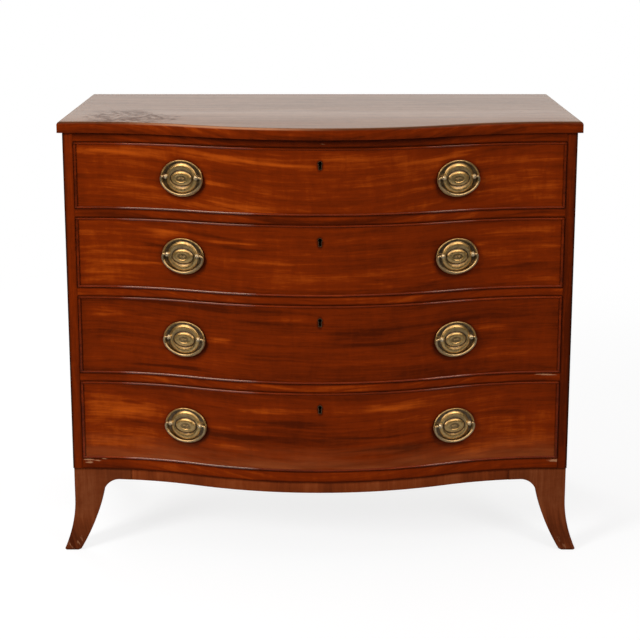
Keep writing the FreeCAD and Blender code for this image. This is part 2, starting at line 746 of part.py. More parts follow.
# A post: knob with a cross hole for the bail's end, seat on the plate, shank through the drawer front
knob_seat = "post_radius * 0.8"
knob_tip = "pivot_stand + post_radius"
shank_end = "handle_lift + front_thickness + nut_thickness + 3"
post_body = new_body("post_turned")
post_profile = [
    ("0", f"-({knob_tip})", ("post_radius", -1)),
    ("post_radius", "-pivot_stand", None),
    (knob_seat, "-plate_thickness", None),
    ("shank_radius", "-plate_thickness", None),
    ("shank_radius", shank_end, None),
    ("0", shank_end, None),
]
post_sketch = draw(new_sketch(post_body, "XY"), post_profile)
post_turn = post_body.newObject("PartDesign::Revolution", "post_turn")
post_turn.Profile = post_sketch
post_turn.ReferenceAxis = (post_sketch, ["V_Axis"])
post = cut("post", post_body, rod(
    "post_hole", "pin_radius + pin_room", "2 * post_radius + 2", "-post_radius - 1", "-pivot_stand", axis="x"))
nut = cut(
    "nut", board("nut_block", ("-nut_side / 2", "nut_side"), ("0", "nut_thickness"), ("-nut_side / 2", "nut_side")),
    rod("nut_bore", "shank_radius + pin_room", "nut_thickness + 2", "0", "nut_thickness + 1", axis="y"))

# The hole that a post's shank needs in a drawer front
shank_hole = new_body("shank_hole")
pad(shank_hole, draw_circle(new_sketch(shank_hole, "XZ"), "shank_radius + shank_room"),
    "4 * front_thickness", midplane=True)

# A bail about its own pivot line: a half oval rod with a thinner end in each post
low_x = "(bail_half - bail_side_bend) * bail_pull"
low_z = "bail_low_bend - bail_drop - (bail_low_bend - bail_fall) * bail_pull"
bail_path = [
    ("shoulder", "0", None),
    ("bail_half - bail_end_bend", "0", ("bail_end_bend", 1)),
    ("bail_half", "-bail_end_bend", ("bail_side_bend", 1)),
    (low_x, low_z, ("bail_low_bend", 1)),
    (f"-({low_x})", low_z, ("bail_side_bend", 1)),
    ("-bail_half", "-bail_end_bend", ("bail_end_bend", 1)),
    ("-bail_half + bail_end_bend", "0", None),
    ("-shoulder", "0", None),
]
bail_bow = new_body("bail_bow")
bail_spine = draw(new_sketch(bail_bow, "XZ"), bail_path, closed=False)
bail_section = draw_circle(new_sketch(bail_bow, "YZ", lift="shoulder"), "bail_radius")
doc.recompute()
bail_pipe = bail_bow.newObject("PartDesign::AdditivePipe", "bail_pipe")
bail_pipe.Profile = bail_section
bail_pipe.Spine = (bail_spine, [f"Edge{number}" for number in range(1, len(bail_path))])
bail = fuse("bail", bail_bow, *(
    rod(f"bail_end_{side}", "pin_radius", "pin_length + 1",
        "shoulder - pin_length" if side == "right" else "-shoulder - 1", axis="x")
    for side, _ in SIDES
))


def on_front(side, along, inwards):
    """Place on the drawer front by a handle: along the face and inwards from it; gives x, y and the turn."""
    sign = "" if side == "right" else "-"
    x = f"{sign}(handle_x) + ({along}) * cos(handle_angle) - ({sign}(({inwards}) * sin(handle_angle)))"
    y = f"handle_y + ({sign}(({along}) * sin(handle_angle))) + ({inwards}) * cos(handle_angle)"
    return x, y, f"{sign}(handle_angle)"


# Drawers
for number in DRAWERS:
    drawer = f"drawer_{number}"
    opening_floor, opening = f"floor_{number}", f"opening_{number}"
    front_floor = f"{opening_floor} + front_gap"
    front_height = f"({opening} - 2 * front_gap)"
    front_top = f"{opening_floor} + {opening} - front_gap"
    lining_floor = f"{opening_floor} + seat_gap"
    lining_height = f"({opening} - front_gap - lining_drop - seat_gap)"

    panel = serpentine_board(
        f"{drawer}_panel", f"{lining_floor} + panel_rise", "panel_thickness",
        front="panel_tongue - front_thickness", end="lining_inner + panel_tongue", back="drawer_end",
    )

    linings = []
    for side, sign in SIDES:
        blank = new_body(f"{drawer}_{side}_lining_blank")
        pitch = f"{lining_height} / {TAILS[number]}"
        edge = []
        for tail in range(TAILS[number]):
            middle = f"{tail + 0.5} * {pitch}"
            root, tip = f"0.27 * {pitch}", f"(0.27 * {pitch} + tail_flare)"
            edge += [
                ("front_inside", f"{middle} - {root}", None),
                ("stile_y + bead_depth", f"{middle} - {tip}", None),
                ("stile_y + bead_depth", f"{middle} + {tip}", None),
                ("front_inside", f"{middle} + {root}", None),
            ]
        outline = [("drawer_end", "0", None), ("front_inside", "0", None), *edge,
                   ("front_inside", lining_height, None), ("drawer_end", lining_height, None)]
        pad(blank, draw(new_sketch(blank, "YZ"), outline), "lining_thickness")
        place(blank, "lining_inner" if side == "right" else "-front_half", z=lining_floor)
        linings.append(cut(f"{drawer}_{side}_lining", blank, panel))
    back_floor = f"{lining_floor} + panel_rise + panel_thickness"
    linings.append(board(
        f"{drawer}_back_lining", ("-lining_inner", "2 * lining_inner"),
        ("drawer_end - lining_thickness", "lining_thickness"),
        (back_floor, f"{lining_height} - panel_rise - panel_thickness - lining_drop"),
    ))
    node(f"{drawer}_linings", *linings)
    node(f"{drawer}_bottom", panel)

    # Lock, its bolt and the keyhole
    bolt_floor = f"{front_top} - bolt_height"
    keyhole_z = f"{front_top} - keyhole_drop"
    lock_block = board(
        f"{drawer}_lock_block", ("-lock_width / 2", "lock_width"),
        ("middle_inside - lock_let_in", "lock_let_in + lock_stand"), (f"{front_top} - lock_height", "lock_height"))
    bolt_slot = board(
        f"{drawer}_bolt_slot", ("-bolt_width / 2 - seat_gap", "bolt_width + 2 * seat_gap"),
        ("bolt_y - seat_gap", "bolt_depth + 2 * seat_gap"), (f"{bolt_floor} - seat_gap", "bolt_height + 1"))
    bolt = board(f"{drawer}_bolt", ("-bolt_width / 2", "bolt_width"), ("bolt_y", "bolt_depth"),
                 (bolt_floor, "bolt_height"))

    def keyhole(name, wall, front, depth):
        """A keyhole prism, wall wider all round, from front inwards."""
        head = rod(f"{name}_head", f"keyhole_radius + {wall}", depth, "0", f"{front} + {depth}", keyhole_z, axis="y")
        tail = board(f"{name}_tail", (f"-keyhole_slot / 2 - {wall}", f"keyhole_slot + 2 * {wall}"),
                     (front, depth), (f"{keyhole_z} - keyhole_tail - {wall}", f"keyhole_tail + {wall}"))
        return fuse(name, head, tail)

    face = "middle_face - escutcheon_proud"
    whole_escutcheon = keyhole(f"{drawer}_escutcheon_blank", "escutcheon_wall", face,
                               "(escutcheon_depth + escutcheon_proud)")
    keyway = keyhole(f"{drawer}_keyway", "0", "middle_face - 2", "(front_thickness - lock_stand + 2)")
    escutcheon = cut(f"{drawer}_escutcheon", whole_escutcheon, keyway)
    node(f"{drawer}_lock", cut(f"{drawer}_lock_case", lock_block, bolt_slot, keyway), escutcheon)
    node(f"{drawer}_lock_bolt", bolt)

    # Handles at the middle of the drawer's height
    middle_z = f"{opening_floor} + {opening} / 2"
    pivot_z = f"{middle_z} + post_rise"
    plates, posts, holes = [], [], []
    for side, _ in SIDES:
        x, y, turn = on_front(side, "0", "-handle_lift")
        plates.append(copy_of(f"{drawer}_{side}_plate", plate, x, y, middle_z, turn))
        for end, sign in SIDES:
            along = f"{sign}(post_half)"
            x, y, turn = on_front(side, along, "-handle_lift")
            posts.append(copy_of(f"{drawer}_{side}_{end}_post", post, x, y, pivot_z, turn))
            x, y, turn = on_front(side, along, "front_thickness + seat_gap")
            posts.append(copy_of(f"{drawer}_{side}_{end}_nut", nut, x, y, pivot_z, turn))
            x, y, turn = on_front(side, along, "front_thickness / 2")
            holes.append(copy_of(f"{drawer}_{side}_{end}_hole", shank_hole, x, y, pivot_z, turn))
        x, y, turn = on_front(side, "0", "-handle_lift - pivot_stand")
        node(f"{drawer}_{side}_bail", copy_of(f"{drawer}_{side}_bail_place", bail, x, y, pivot_z, turn))
    node(f"{drawer}_handle_plates", *plates)
    node(f"{drawer}_handle_posts", *posts)

    # Front: face inside the cockbeads, rebated core behind, cut for all that is let into it
    core = new_body(f"{drawer}_core")
    pad(core, draw(new_sketch(core, "XY"), serpentine_outline(
        front="-bead_depth", end="front_half", back_offset="-front_thickness")), front_height)
    pad(core, draw(new_sketch(core, "XY", lift="bead_thickness"), serpentine_outline(
        front="0", end="front_half - bead_thickness", back_offset="-bead_depth - 1")),
        f"{front_height} - 2 * bead_thickness")
    place(core, z=front_floor)
    node(f"{drawer}_front", cut(
        f"{drawer}_front_board", core, panel, *linings[:2], lock_block, whole_escutcheon, keyway, *holes))

    beads = []
    for edge, z in (("top", f"{front_top} - bead_thickness"), ("bottom", front_floor)):
        bead = serpentine_board(f"{drawer}_{edge}_bead", z, "bead_thickness", front="bead_proud",
                                end="front_half", back_offset="-bead_depth")
        round_front_edges(bead, "bead_round", value("bead_proud"))
        beads.append(bead)
    for side, _ in SIDES:
        x = "front_half - bead_thickness" if side == "right" else "-front_half"
        beads.append(board(f"{drawer}_{side}_bead", (x, "bead_thickness"),
                           ("stile_y - bead_proud", "bead_proud + bead_depth"),
                           (f"{front_floor} + bead_thickness", f"{front_height} - 2 * bead_thickness")))
    node(f"{drawer}_cockbeads", *beads)

doc.recompute()

# Every piece must be sound before it is written
faults = [obj.Name for obj in doc.Objects if "Invalid" in obj.State or "Error" in obj.State]
for label, piece in nodes.items():
    if piece.Shape.isNull() or not piece.Shape.isValid() or not piece.Shape.Solids:
        faults.append(label)
if faults:
    raise RuntimeError("unsound: " + ", ".join(faults))
for label, piece in nodes.items():
    piece.Shape.exportStep(f"parts/{label}.step")
print(len(nodes), "pieces,", sum(len(piece.Shape.Solids) for piece in nodes.values()), "solids")
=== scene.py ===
# %% [markdown]
# A chest of four drawers with a serpentine front, in polished mahogany with brass handles.
# The CAD part is loaded first as a fixed frame: every board, drawer and fitting is in its place
# there, in metres, with the front facing -Y and the floor at z = 0. This lesson dresses that frame.

# %% Load the frame
import math

import bmesh
import bpy
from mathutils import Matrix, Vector


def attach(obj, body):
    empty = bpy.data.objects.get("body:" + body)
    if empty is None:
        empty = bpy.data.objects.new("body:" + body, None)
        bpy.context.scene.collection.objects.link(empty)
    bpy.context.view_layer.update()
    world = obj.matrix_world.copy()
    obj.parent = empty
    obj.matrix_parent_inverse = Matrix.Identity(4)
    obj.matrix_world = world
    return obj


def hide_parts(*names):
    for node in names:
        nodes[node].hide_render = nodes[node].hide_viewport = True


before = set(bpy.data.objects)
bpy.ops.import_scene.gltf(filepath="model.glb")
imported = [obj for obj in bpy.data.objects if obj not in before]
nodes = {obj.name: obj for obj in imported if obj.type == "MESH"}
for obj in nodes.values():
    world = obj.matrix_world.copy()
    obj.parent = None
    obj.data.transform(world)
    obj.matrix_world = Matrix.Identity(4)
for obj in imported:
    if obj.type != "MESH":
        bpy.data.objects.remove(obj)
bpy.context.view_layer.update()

scene = bpy.context.scene

# %% [markdown]
# The photograph was taken from straight in front, a little above the top, with a long lens.
# A small downward shift keeps the upright edges nearly parallel, as a view camera does.

# %% Camera
CAMERA_PITCH = 11.82
lens = bpy.data.cameras.new("photo_lens")
lens.lens = 87.35
lens.sensor_width = 36.0
lens.shift_y = -0.12
camera = bpy.data.objects.new("photo_camera", lens)
camera.location = (0.0, -3.300, 1.313)
camera.rotation_euler = (math.radians(90 - CAMERA_PITCH), 0.0, 0.0)
scene.collection.objects.link(camera)
scene.camera = camera
scene.view_settings.view_transform = "Standard"
print("camera", [round(v, 3) for v in camera.location])

# %% [markdown]
# Every finish below is a tree of shader nodes, and such trees are easier to read when one short helper
# adds a node, sets it and links it. A value that is itself a socket is linked; anything else is typed
# into the socket. An effect that several finishes share is a group with named sockets.

# %% Helpers for shader trees
def fill(tree, made, inputs):
    """Sets a node's inputs: a socket is linked, anything else is typed in."""
    for key, value in inputs.items():
        if isinstance(value, bpy.types.NodeSocket):
            tree.links.new(value, made.inputs[key])
        else:
            made.inputs[key].default_value = value


def add(tree, kind, inputs=(), **settings):
    """One shader node with its settings and inputs."""
    made = tree.nodes.new("ShaderNode" + kind)
    for key, value in settings.items():
        setattr(made, key, value)
    fill(tree, made, dict(inputs))
    return made


def sums(tree, operation, first, second=0.0, clamp=False):
    """One step of arithmetic."""
    return add(tree, "Math", {0: first, 1: second}, operation=operation, use_clamp=clamp).outputs[0]


def times(tree, first, second, clamp=False):
    """Two values multiplied."""
    return sums(tree, "MULTIPLY", first, second, clamp)


def plus(tree, first, second):
    """Two values added."""
    return sums(tree, "ADD", first, second)


def minus(tree, first, second, clamp=False):
    """The second value taken from the first."""
    return sums(tree, "SUBTRACT", first, second, clamp)


def spread(tree, value, low, high, to_low=0.0, to_high=1.0, soft=False):
    """A value's range stretched to another range, held at its ends."""
    kind = "SMOOTHSTEP" if soft else "LINEAR"
    made = add(tree, "MapRange", {0: value, 1: low, 2: high, 3: to_low, 4: to_high}, interpolation_type=kind)
    return made.outputs[0]


def blend(tree, share, first, second):
    """Two colours mixed by a share."""
    return add(tree, "Mix", {0: share, 6: first, 7: second}, data_type="RGBA").outputs[2]


def group(name, inputs, outputs):
    """An empty shader group with named sockets; returns the tree, its input sockets and a closing call."""
    tree = bpy.data.node_groups.new(name, "ShaderNodeTree")
    kinds = {"v": "NodeSocketVector", "f": "NodeSocketFloat", "c": "NodeSocketColor"}
    for key, kind in inputs.items():
        tree.interface.new_socket(key, in_out="INPUT", socket_type=kinds[kind])
    for key, kind in outputs.items():
        tree.interface.new_socket(key, in_out="OUTPUT", socket_type=kinds[kind])
    inside = tree.nodes.new("NodeGroupInput").outputs
    end = tree.nodes.new("NodeGroupOutput")

    def close(**results):
        for key, socket in results.items():
            tree.links.new(socket, end.inputs[key])

    return tree, inside, close


def use(tree, shared, **inputs):
    """A shared group placed in a tree, with its inputs by name."""
    made = tree.nodes.new("ShaderNodeGroup")
    made.node_tree = shared
    fill(tree, made, inputs)
    return made.outputs


def new_material(name):
    """A material with a Principled shader; returns the material, its tree and the shader's inputs."""
    made = bpy.data.materials.new(name)
    made.use_nodes = True
    tree = made.node_tree
    return made, tree, tree.nodes["Principled BSDF"].inputs


def object_axes(tree):
    """The three object coordinates as separate sockets."""
    return add(tree, "SeparateXYZ", {0: add(tree, "TexCoord").outputs["Object"]}).outputs


print("helpers for shader trees are ready")

# %% [markdown]
# The photograph has a plain white ground. The world is white to the camera and, behind and above the
# chest, to polished surfaces, so the top shows the pale sheen of the backdrop. The room on the
# camera's side is dim, which keeps the front's red deep. Polished beads and brass need something bright
# to mirror: five soft windows, which only reflections see, give them their warm lights.

# %% Room and windows
AMBIENT = 0.40
ROOM_FRONT = 0.06
CEILING = 0.60
WHITE = (1.0, 1.0, 1.0, 1.0)
ROOM_TINT = (1.0, 0.95, 0.89, 1.0)
WINDOW_TINT = (1.0, 0.80, 0.60, 1.0)
# Each window: the way towards it, its strength, and the cosines of its outer and inner edge
WINDOWS = [
    ((-0.630, -0.568, 0.53), 4.8, (0.965, 0.992)),
    ((0.620, -0.578, 0.53), 4.6, (0.965, 0.992)),
    ((-0.46, -0.52, 0.72), 2.4, (0.90, 0.97)),
    ((0.40, -0.58, 0.71), 1.2, (0.90, 0.97)),
    ((0.0, -0.968, 0.25), 1.2, (0.985, 0.996)),
]

world = bpy.data.worlds.new("studio")
scene.world = world
world.use_nodes = True
sky = world.node_tree
sky.nodes.clear()
path = add(sky, "LightPath").outputs
heading = add(sky, "TexCoord").outputs["Generated"]
way = add(sky, "SeparateXYZ", {0: heading}).outputs
backdrop = spread(sky, way["Y"], 0.05, 0.60, ROOM_FRONT, 1.0, soft=True)
overhead = spread(sky, way["Z"], 0.35, 0.85, ROOM_FRONT, CEILING, soft=True)
mirror = sums(sky, "MAXIMUM", path["Is Glossy Ray"], path["Is Transmission Ray"])
shine = sums(sky, "MAXIMUM", backdrop, overhead)
panes = None
for toward, strength, edges in WINDOWS:
    facing = add(sky, "VectorMath", {0: heading, 1: toward}, operation="DOT_PRODUCT").outputs["Value"]
    pane = spread(sky, facing, *edges, 0.0, strength, soft=True)
    panes = pane if panes is None else sums(sky, "MAXIMUM", panes, pane)
level = add(sky, "Mix", {0: mirror, 2: AMBIENT, 3: shine}).outputs[0]
level = add(sky, "Mix", {0: path["Is Camera Ray"], 2: level, 3: 1.0}).outputs[0]
room = add(sky, "Background", {"Color": blend(sky, mirror, WHITE, ROOM_TINT), "Strength": level})
glass = add(sky, "Background", {"Color": WINDOW_TINT, "Strength": times(sky, panes, mirror)})
light = add(sky, "AddShader", {0: room.outputs[0], 1: glass.outputs[0]})
sky.links.new(light.outputs[0], add(sky, "OutputWorld").inputs[0])
print("room with", len(WINDOWS), "windows")

# %% [markdown]
# Three large soft lamps light the chest: a stronger one from the left, a weaker one from the right and
# one from behind for the other views. Reflections do not see them, because their square shapes would
# show on the polished top; the windows stand in for them there.

# %% Lamps
CHEST_MIDDLE = (0, 0, 0.5)
LAMPS = {
    "left_lamp": ((-2.9, -2.6, 2.0), 1.1, 104),
    "right_lamp": ((2.5, -2.9, 2.0), 1.1, 46),
    "back_lamp": ((-1.6, 3.4, 2.4), 1.6, 50),
}


def soft_lamp(name, place, size, power):
    """A square soft lamp that looks at the chest."""
    data = bpy.data.lights.new(name, "AREA")
    data.size = size
    data.energy = power
    lamp = bpy.data.objects.new(name, data)
    lamp.location = place
    lamp.visible_glossy = False
    lamp.rotation_euler = (Vector(CHEST_MIDDLE) - Vector(place)).to_track_quat("-Z", "Y").to_euler()
    scene.collection.objects.link(lamp)


for name, setting in LAMPS.items():
    soft_lamp(name, *setting)
print("lamps:", *LAMPS)

# %% [markdown]
# The floor is white paper. Near the chest it is matt and takes a soft shadow, helped to white by a glow
# that only the camera sees. Further off it is plain white, so that its edge never shows.

# %% Paper floor
FLOOR_REACH = 14.0
SHADOW_REACH = (1.2, 2.6)
PAPER_GREY = (0.28, 0.28, 0.28, 1.0)
PAPER_GLOW = 0.79
PAPER_MIRRORED = 0.10
PAPER_BOUNCE = 0.30

floor_mesh = bpy.data.meshes.new("floor")
corners = [(x * FLOOR_REACH, y * FLOOR_REACH, 0) for x, y in ((-1, -1), (1, -1), (1, 1), (-1, 1))]
floor_mesh.from_pydata(corners, [], [(0, 1, 2, 3)])
floor = bpy.data.objects.new("floor", floor_mesh)
scene.collection.objects.link(floor)
paper = bpy.data.materials.new("studio_paper")
paper.use_nodes = True
tree = paper.node_tree
tree.nodes.clear()
path = add(tree, "LightPath").outputs
seen = path["Is Camera Ray"]
mirrored = times(tree, path["Is Glossy Ray"], PAPER_MIRRORED)
place = add(tree, "TexCoord").outputs["Object"]
away = add(tree, "VectorMath", {0: place}, operation="LENGTH").outputs["Value"]
far = spread(tree, away, *SHADOW_REACH, soft=True)
matt = add(tree, "BsdfDiffuse", {"Color": PAPER_GREY})
glow = sums(tree, "MAXIMUM", times(tree, seen, PAPER_GLOW), mirrored)
near_side = add(tree, "AddShader", {
    0: matt.outputs[0], 1: add(tree, "Emission", {"Strength": glow}).outputs[0]})
dim = times(tree, path["Is Diffuse Ray"], PAPER_BOUNCE)
far_glow = sums(tree, "MAXIMUM", sums(tree, "MAXIMUM", seen, mirrored), dim)
far_side = add(tree, "Emission", {"Strength": far_glow})
both = add(tree, "MixShader", {0: far, 1: near_side.outputs[0], 2: far_side.outputs[0]})
tree.links.new(both.outputs[0], add(tree, "OutputMaterial").inputs[0])
floor_mesh.materials.append(paper)
print("paper floor with a shadow up to", SHADOW_REACH[1], "m off")

# %% [markdown]
# The front follows one rule: a round in the middle runs over into a hollow at each side, which ends
# flat beside the corner stiles. Knowing where the face stands lets a pattern be placed on it.

# %% The serpentine line
STILE_Y = -0.187
BOW = 0.084
BOW_HALF = 0.485
BOW_TURN = 0.25802
sweep = math.sin(2 * math.atan(BOW / BOW_HALF))
ROUND = BOW_TURN / sweep
HOLLOW = (BOW_HALF - BOW_TURN) / sweep


def front_y(x):
    """Where the drawers' face stands at a distance x from the middle."""
    x = abs(x)
    if x <= BOW_TURN:
        return STILE_Y - BOW + ROUND - math.sqrt(ROUND ** 2 - x ** 2)
    if x < BOW_HALF:
        return STILE_Y - HOLLOW + math.sqrt(HOLLOW ** 2 - (BOW_HALF - x) ** 2)
    return STILE_Y


print("front stands at", [round(front_y(x / 10), 4) for x in range(0, 6)])

# %% [markdown]
# All the woods share one figure: long streaks that wander a little, broad light and dark bands, fine
# lines and pores. The group reads a grain vector, whose X runs along the grain, Y across it and Z
# into the board, so any board can be turned by how its vector is put together.

# %% Wood figure
def stretched(tree, vector, along, across, into, detail, rough=0.55, twist=0.0):
    """Noise drawn out along the grain, with a number of waves per metre each way."""
    scaled = add(tree, "VectorMath", {0: vector, 1: (along, across, into)}, operation="MULTIPLY").outputs[0]
    made = add(tree, "TexNoise", {
        "Vector": scaled, "Scale": 1.0, "Detail": detail, "Roughness": rough, "Distortion": twist})
    return minus(tree, made.outputs["Fac"], 0.5)


def pushed(tree, vector, along=0.0, across=0.0):
    """A grain vector moved along and across the grain."""
    move = add(tree, "CombineXYZ", {0: along, 1: across}).outputs[0]
    return add(tree, "VectorMath", {0: vector, 1: move}, operation="ADD").outputs[0]


SEED_MOVES = (1.37, 0.61)
RIPPLE_SHARE = 0.16
CLOUD_SHARE = 0.55
PORE_DARK = 0.08

wood, inside, close = group(
    "wood_figure",
    {"Grain": "v", "Seed": "f", "Wave": "f", "Broad": "f", "Streak": "f", "Fleck": "f", "Mottle": "f", "Fine": "f",
     "Tone": "f"},
    {"Tone": "f", "Height": "f"},
)
moved = pushed(wood, inside["Grain"], *(times(wood, inside["Seed"], far) for far in SEED_MOVES))
drift = times(wood, stretched(wood, moved, 1.9, 3.0, 2.0, 2.0), inside["Wave"])
ripple_size = times(wood, inside["Wave"], RIPPLE_SHARE)
ripple = times(wood, stretched(wood, moved, 9.0, 14.0, 5.0, 2.0), ripple_size)
wavy = pushed(wood, moved, 0.0, plus(wood, drift, ripple))
parts = [
    (stretched(wood, wavy, 2.1, 17.0, 5.0, 2.0, 0.5, 0.4), inside["Broad"]),
    (stretched(wood, wavy, 8.0, 13.0, 5.0, 3.0, 0.55, 0.8), times(wood, inside["Broad"], CLOUD_SHARE)),
    (stretched(wood, wavy, 3.4, 80.0, 9.0, 5.0, 0.66, 0.3), inside["Streak"]),
    (stretched(wood, wavy, 19.0, 190.0, 30.0, 3.0, 0.65, 0.6), inside["Fleck"]),
    (stretched(wood, moved, 52.0, 17.0, 20.0, 3.0, 0.6, 0.8), inside["Mottle"]),
    (stretched(wood, wavy, 7.0, 480.0, 40.0, 3.0, 0.6), inside["Fine"]),
]
tone = inside["Tone"]
for part, share in parts:
    tone = plus(wood, tone, times(wood, part, share))
pores = spread(wood, stretched(wood, wavy, 55.0, 1500.0, 90.0, 2.0, 0.5), 0.10, 0.20)
tone = minus(wood, tone, times(wood, pores, PORE_DARK), clamp=True)
height = minus(wood, times(wood, parts[-1][0], 0.5), pores)
close(Tone=tone, Height=height)

tones, inside, close = group(
    "three_tones", {"Tone": "f", "Dark": "c", "Middle": "c", "Light": "c"}, {"Color": "c"}
)
lower = blend(tones, spread(tones, inside["Tone"], 0.0, 0.5), inside["Dark"], inside["Middle"])
close(Color=blend(tones, spread(tones, inside["Tone"], 0.5, 1.0), lower, inside["Light"]))
print("wood groups with", len(wood.nodes), "and", len(tones.nodes), "nodes")

# %% [markdown]
# A grain vector is put together from the object's own coordinates: along X on drawer fronts and rails,
# up and down on stiles, feet and the apron's veneer. On the fronts it leans with the bow, because the
# boards were sawn to the curve from thick stuff.

# %% Ways of the grain
def across_front(lean):
    """A grain that runs across the front and leans with its bow."""
    return ((1, 0, 0), (0, -lean, 1), (0, 0.2, 0))


RAIL_LEAN = 0.9
GRAIN = {
    "rail": across_front(RAIL_LEAN),
    "drawer_1": across_front(0.45),
    "drawer_2": across_front(0.15),
    "drawer_3": across_front(0.10),
    "drawer_4": across_front(0.25),
    "upright": ((0, 0, 1), (1, 1, 0), (0.1, -0.1, 0)),
    "flat": ((1, 0, 0), (0, 1, 0), (0, 0, 1)),
    "face": ((1, 0, 0), (0, 0, 1), (0, 0, 0)),
    "front_to_back": ((0, 1, 0), (1, 0, 1), (0.2, 0, 0)),
}


def grain_vector(tree, turn):
    """Object coordinates as a grain vector: three dot products, one for each of its axes."""
    place = add(tree, "TexCoord").outputs["Object"]
    axes = [
        add(tree, "VectorMath", {0: place, 1: axis}, operation="DOT_PRODUCT").outputs["Value"] for axis in GRAIN[turn]
    ]
    return add(tree, "CombineXYZ", dict(enumerate(axes))).outputs[0]


print("ways of the grain:", *GRAIN)

# %% [markdown]
# Flames and dark patches of the best boards are soft oval spots whose ends feather out along the grain; painted
# shadows and painted highlights are made of the same spots. Dirt and painted shade along an edge are simpler: they
# darken the wood beside a drawer's rim, a joint, a gap or an overhang.

# %% Spots and dirt
SPOT_RAGGED = (0.16, 0.035)
SPOT_EDGE = 1.25
# A narrow band of dirt and painted shade beside the beads, and a broad band of painted shade
RIM_DIRT_AND_SHADE = (0.0035, 0.0075, -0.34, 0.0)
RIM_SHADE = (0.003, 0.030, -0.12, 0.0)


def spots(tree, grain, places, ruffle=1.0):
    """Soft oval spots: each has its middle and half sizes along and across the grain, and its strength."""
    along = times(tree, stretched(tree, grain, 4.0, 110.0, 5.0, 3.0), SPOT_RAGGED[0] * ruffle)
    across = times(tree, stretched(tree, grain, 5.0, 40.0, 5.0, 2.0), SPOT_RAGGED[1] * ruffle)
    ragged = pushed(tree, grain, along, across)
    total = None
    for x, y, half_x, half_y, strength in places:
        scaled = add(tree, "VectorMath", {
            0: ragged, 1: (1 / half_x, 1 / half_y, 0), 2: (-x / half_x, -y / half_y, 0)}, operation="MULTIPLY_ADD")
        reach = add(tree, "VectorMath", {0: scaled.outputs[0]}, operation="LENGTH").outputs["Value"]
        one = spread(tree, reach, 0.0, SPOT_EDGE, strength, 0.0, soft=True)
        total = one if total is None else plus(tree, total, one)
    return total


def rim_dirt_and_shade(tree, floor_z, height, half):
    """Darker wood round a drawer front, inside its beads: dirt and painted shade close by, painted shade further in."""
    place = object_axes(tree)
    ends = minus(tree, half, sums(tree, "ABSOLUTE", place["X"]))
    up = sums(tree, "ABSOLUTE", minus(tree, place["Z"], floor_z + height / 2))
    inward = sums(tree, "MINIMUM", ends, minus(tree, height / 2, up))
    close_by = spread(tree, inward, *RIM_DIRT_AND_SHADE, soft=True)
    return plus(tree, close_by, spread(tree, inward, *RIM_SHADE, soft=True))


def line_dirt_and_shade(tree, axis, lines, reach, strength):
    """A darker line where an axis stands near one of the given values: dirt in a joint, painted shade beside a gap or
    under an overhang.
    """
    place = object_axes(tree)[axis]
    nearest = None
    for line in lines:
        away = sums(tree, "ABSOLUTE", minus(tree, place, line))
        nearest = away if nearest is None else sums(tree, "MINIMUM", nearest, away)
    return spread(tree, nearest, 0.0, reach, strength, 0.0, soft=True)


print("spots reach", SPOT_EDGE, "times their half size")

# %% [markdown]
# A wooden finish is the shared figure with a board's own seed, tone and three colours. On top of it flames,
# painted shadows with dirt, and dark lines of dirt and painted shade change its tone, while bare wood, a pale painted
# reflection of the floor and near-black edges cover its colour. The polish is a little duller where the wood is dark
# and open.

# %% A wooden finish
STILE_FACE = (STILE_Y + 0.0002, STILE_Y + 0.0012)
BARE_WOOD = (0.40, 0.185, 0.090, 1.0)
# Colour of a painted reflection: a pale sheen that stands for the floor's reflection
FLOOR_SHEEN_COLOUR = (0.320, 0.082, 0.022, 1.0)
# Near-black for the outer edges of the stiles' face
NEAR_BLACK = (0.014, 0.0030, 0.0008, 1.0)


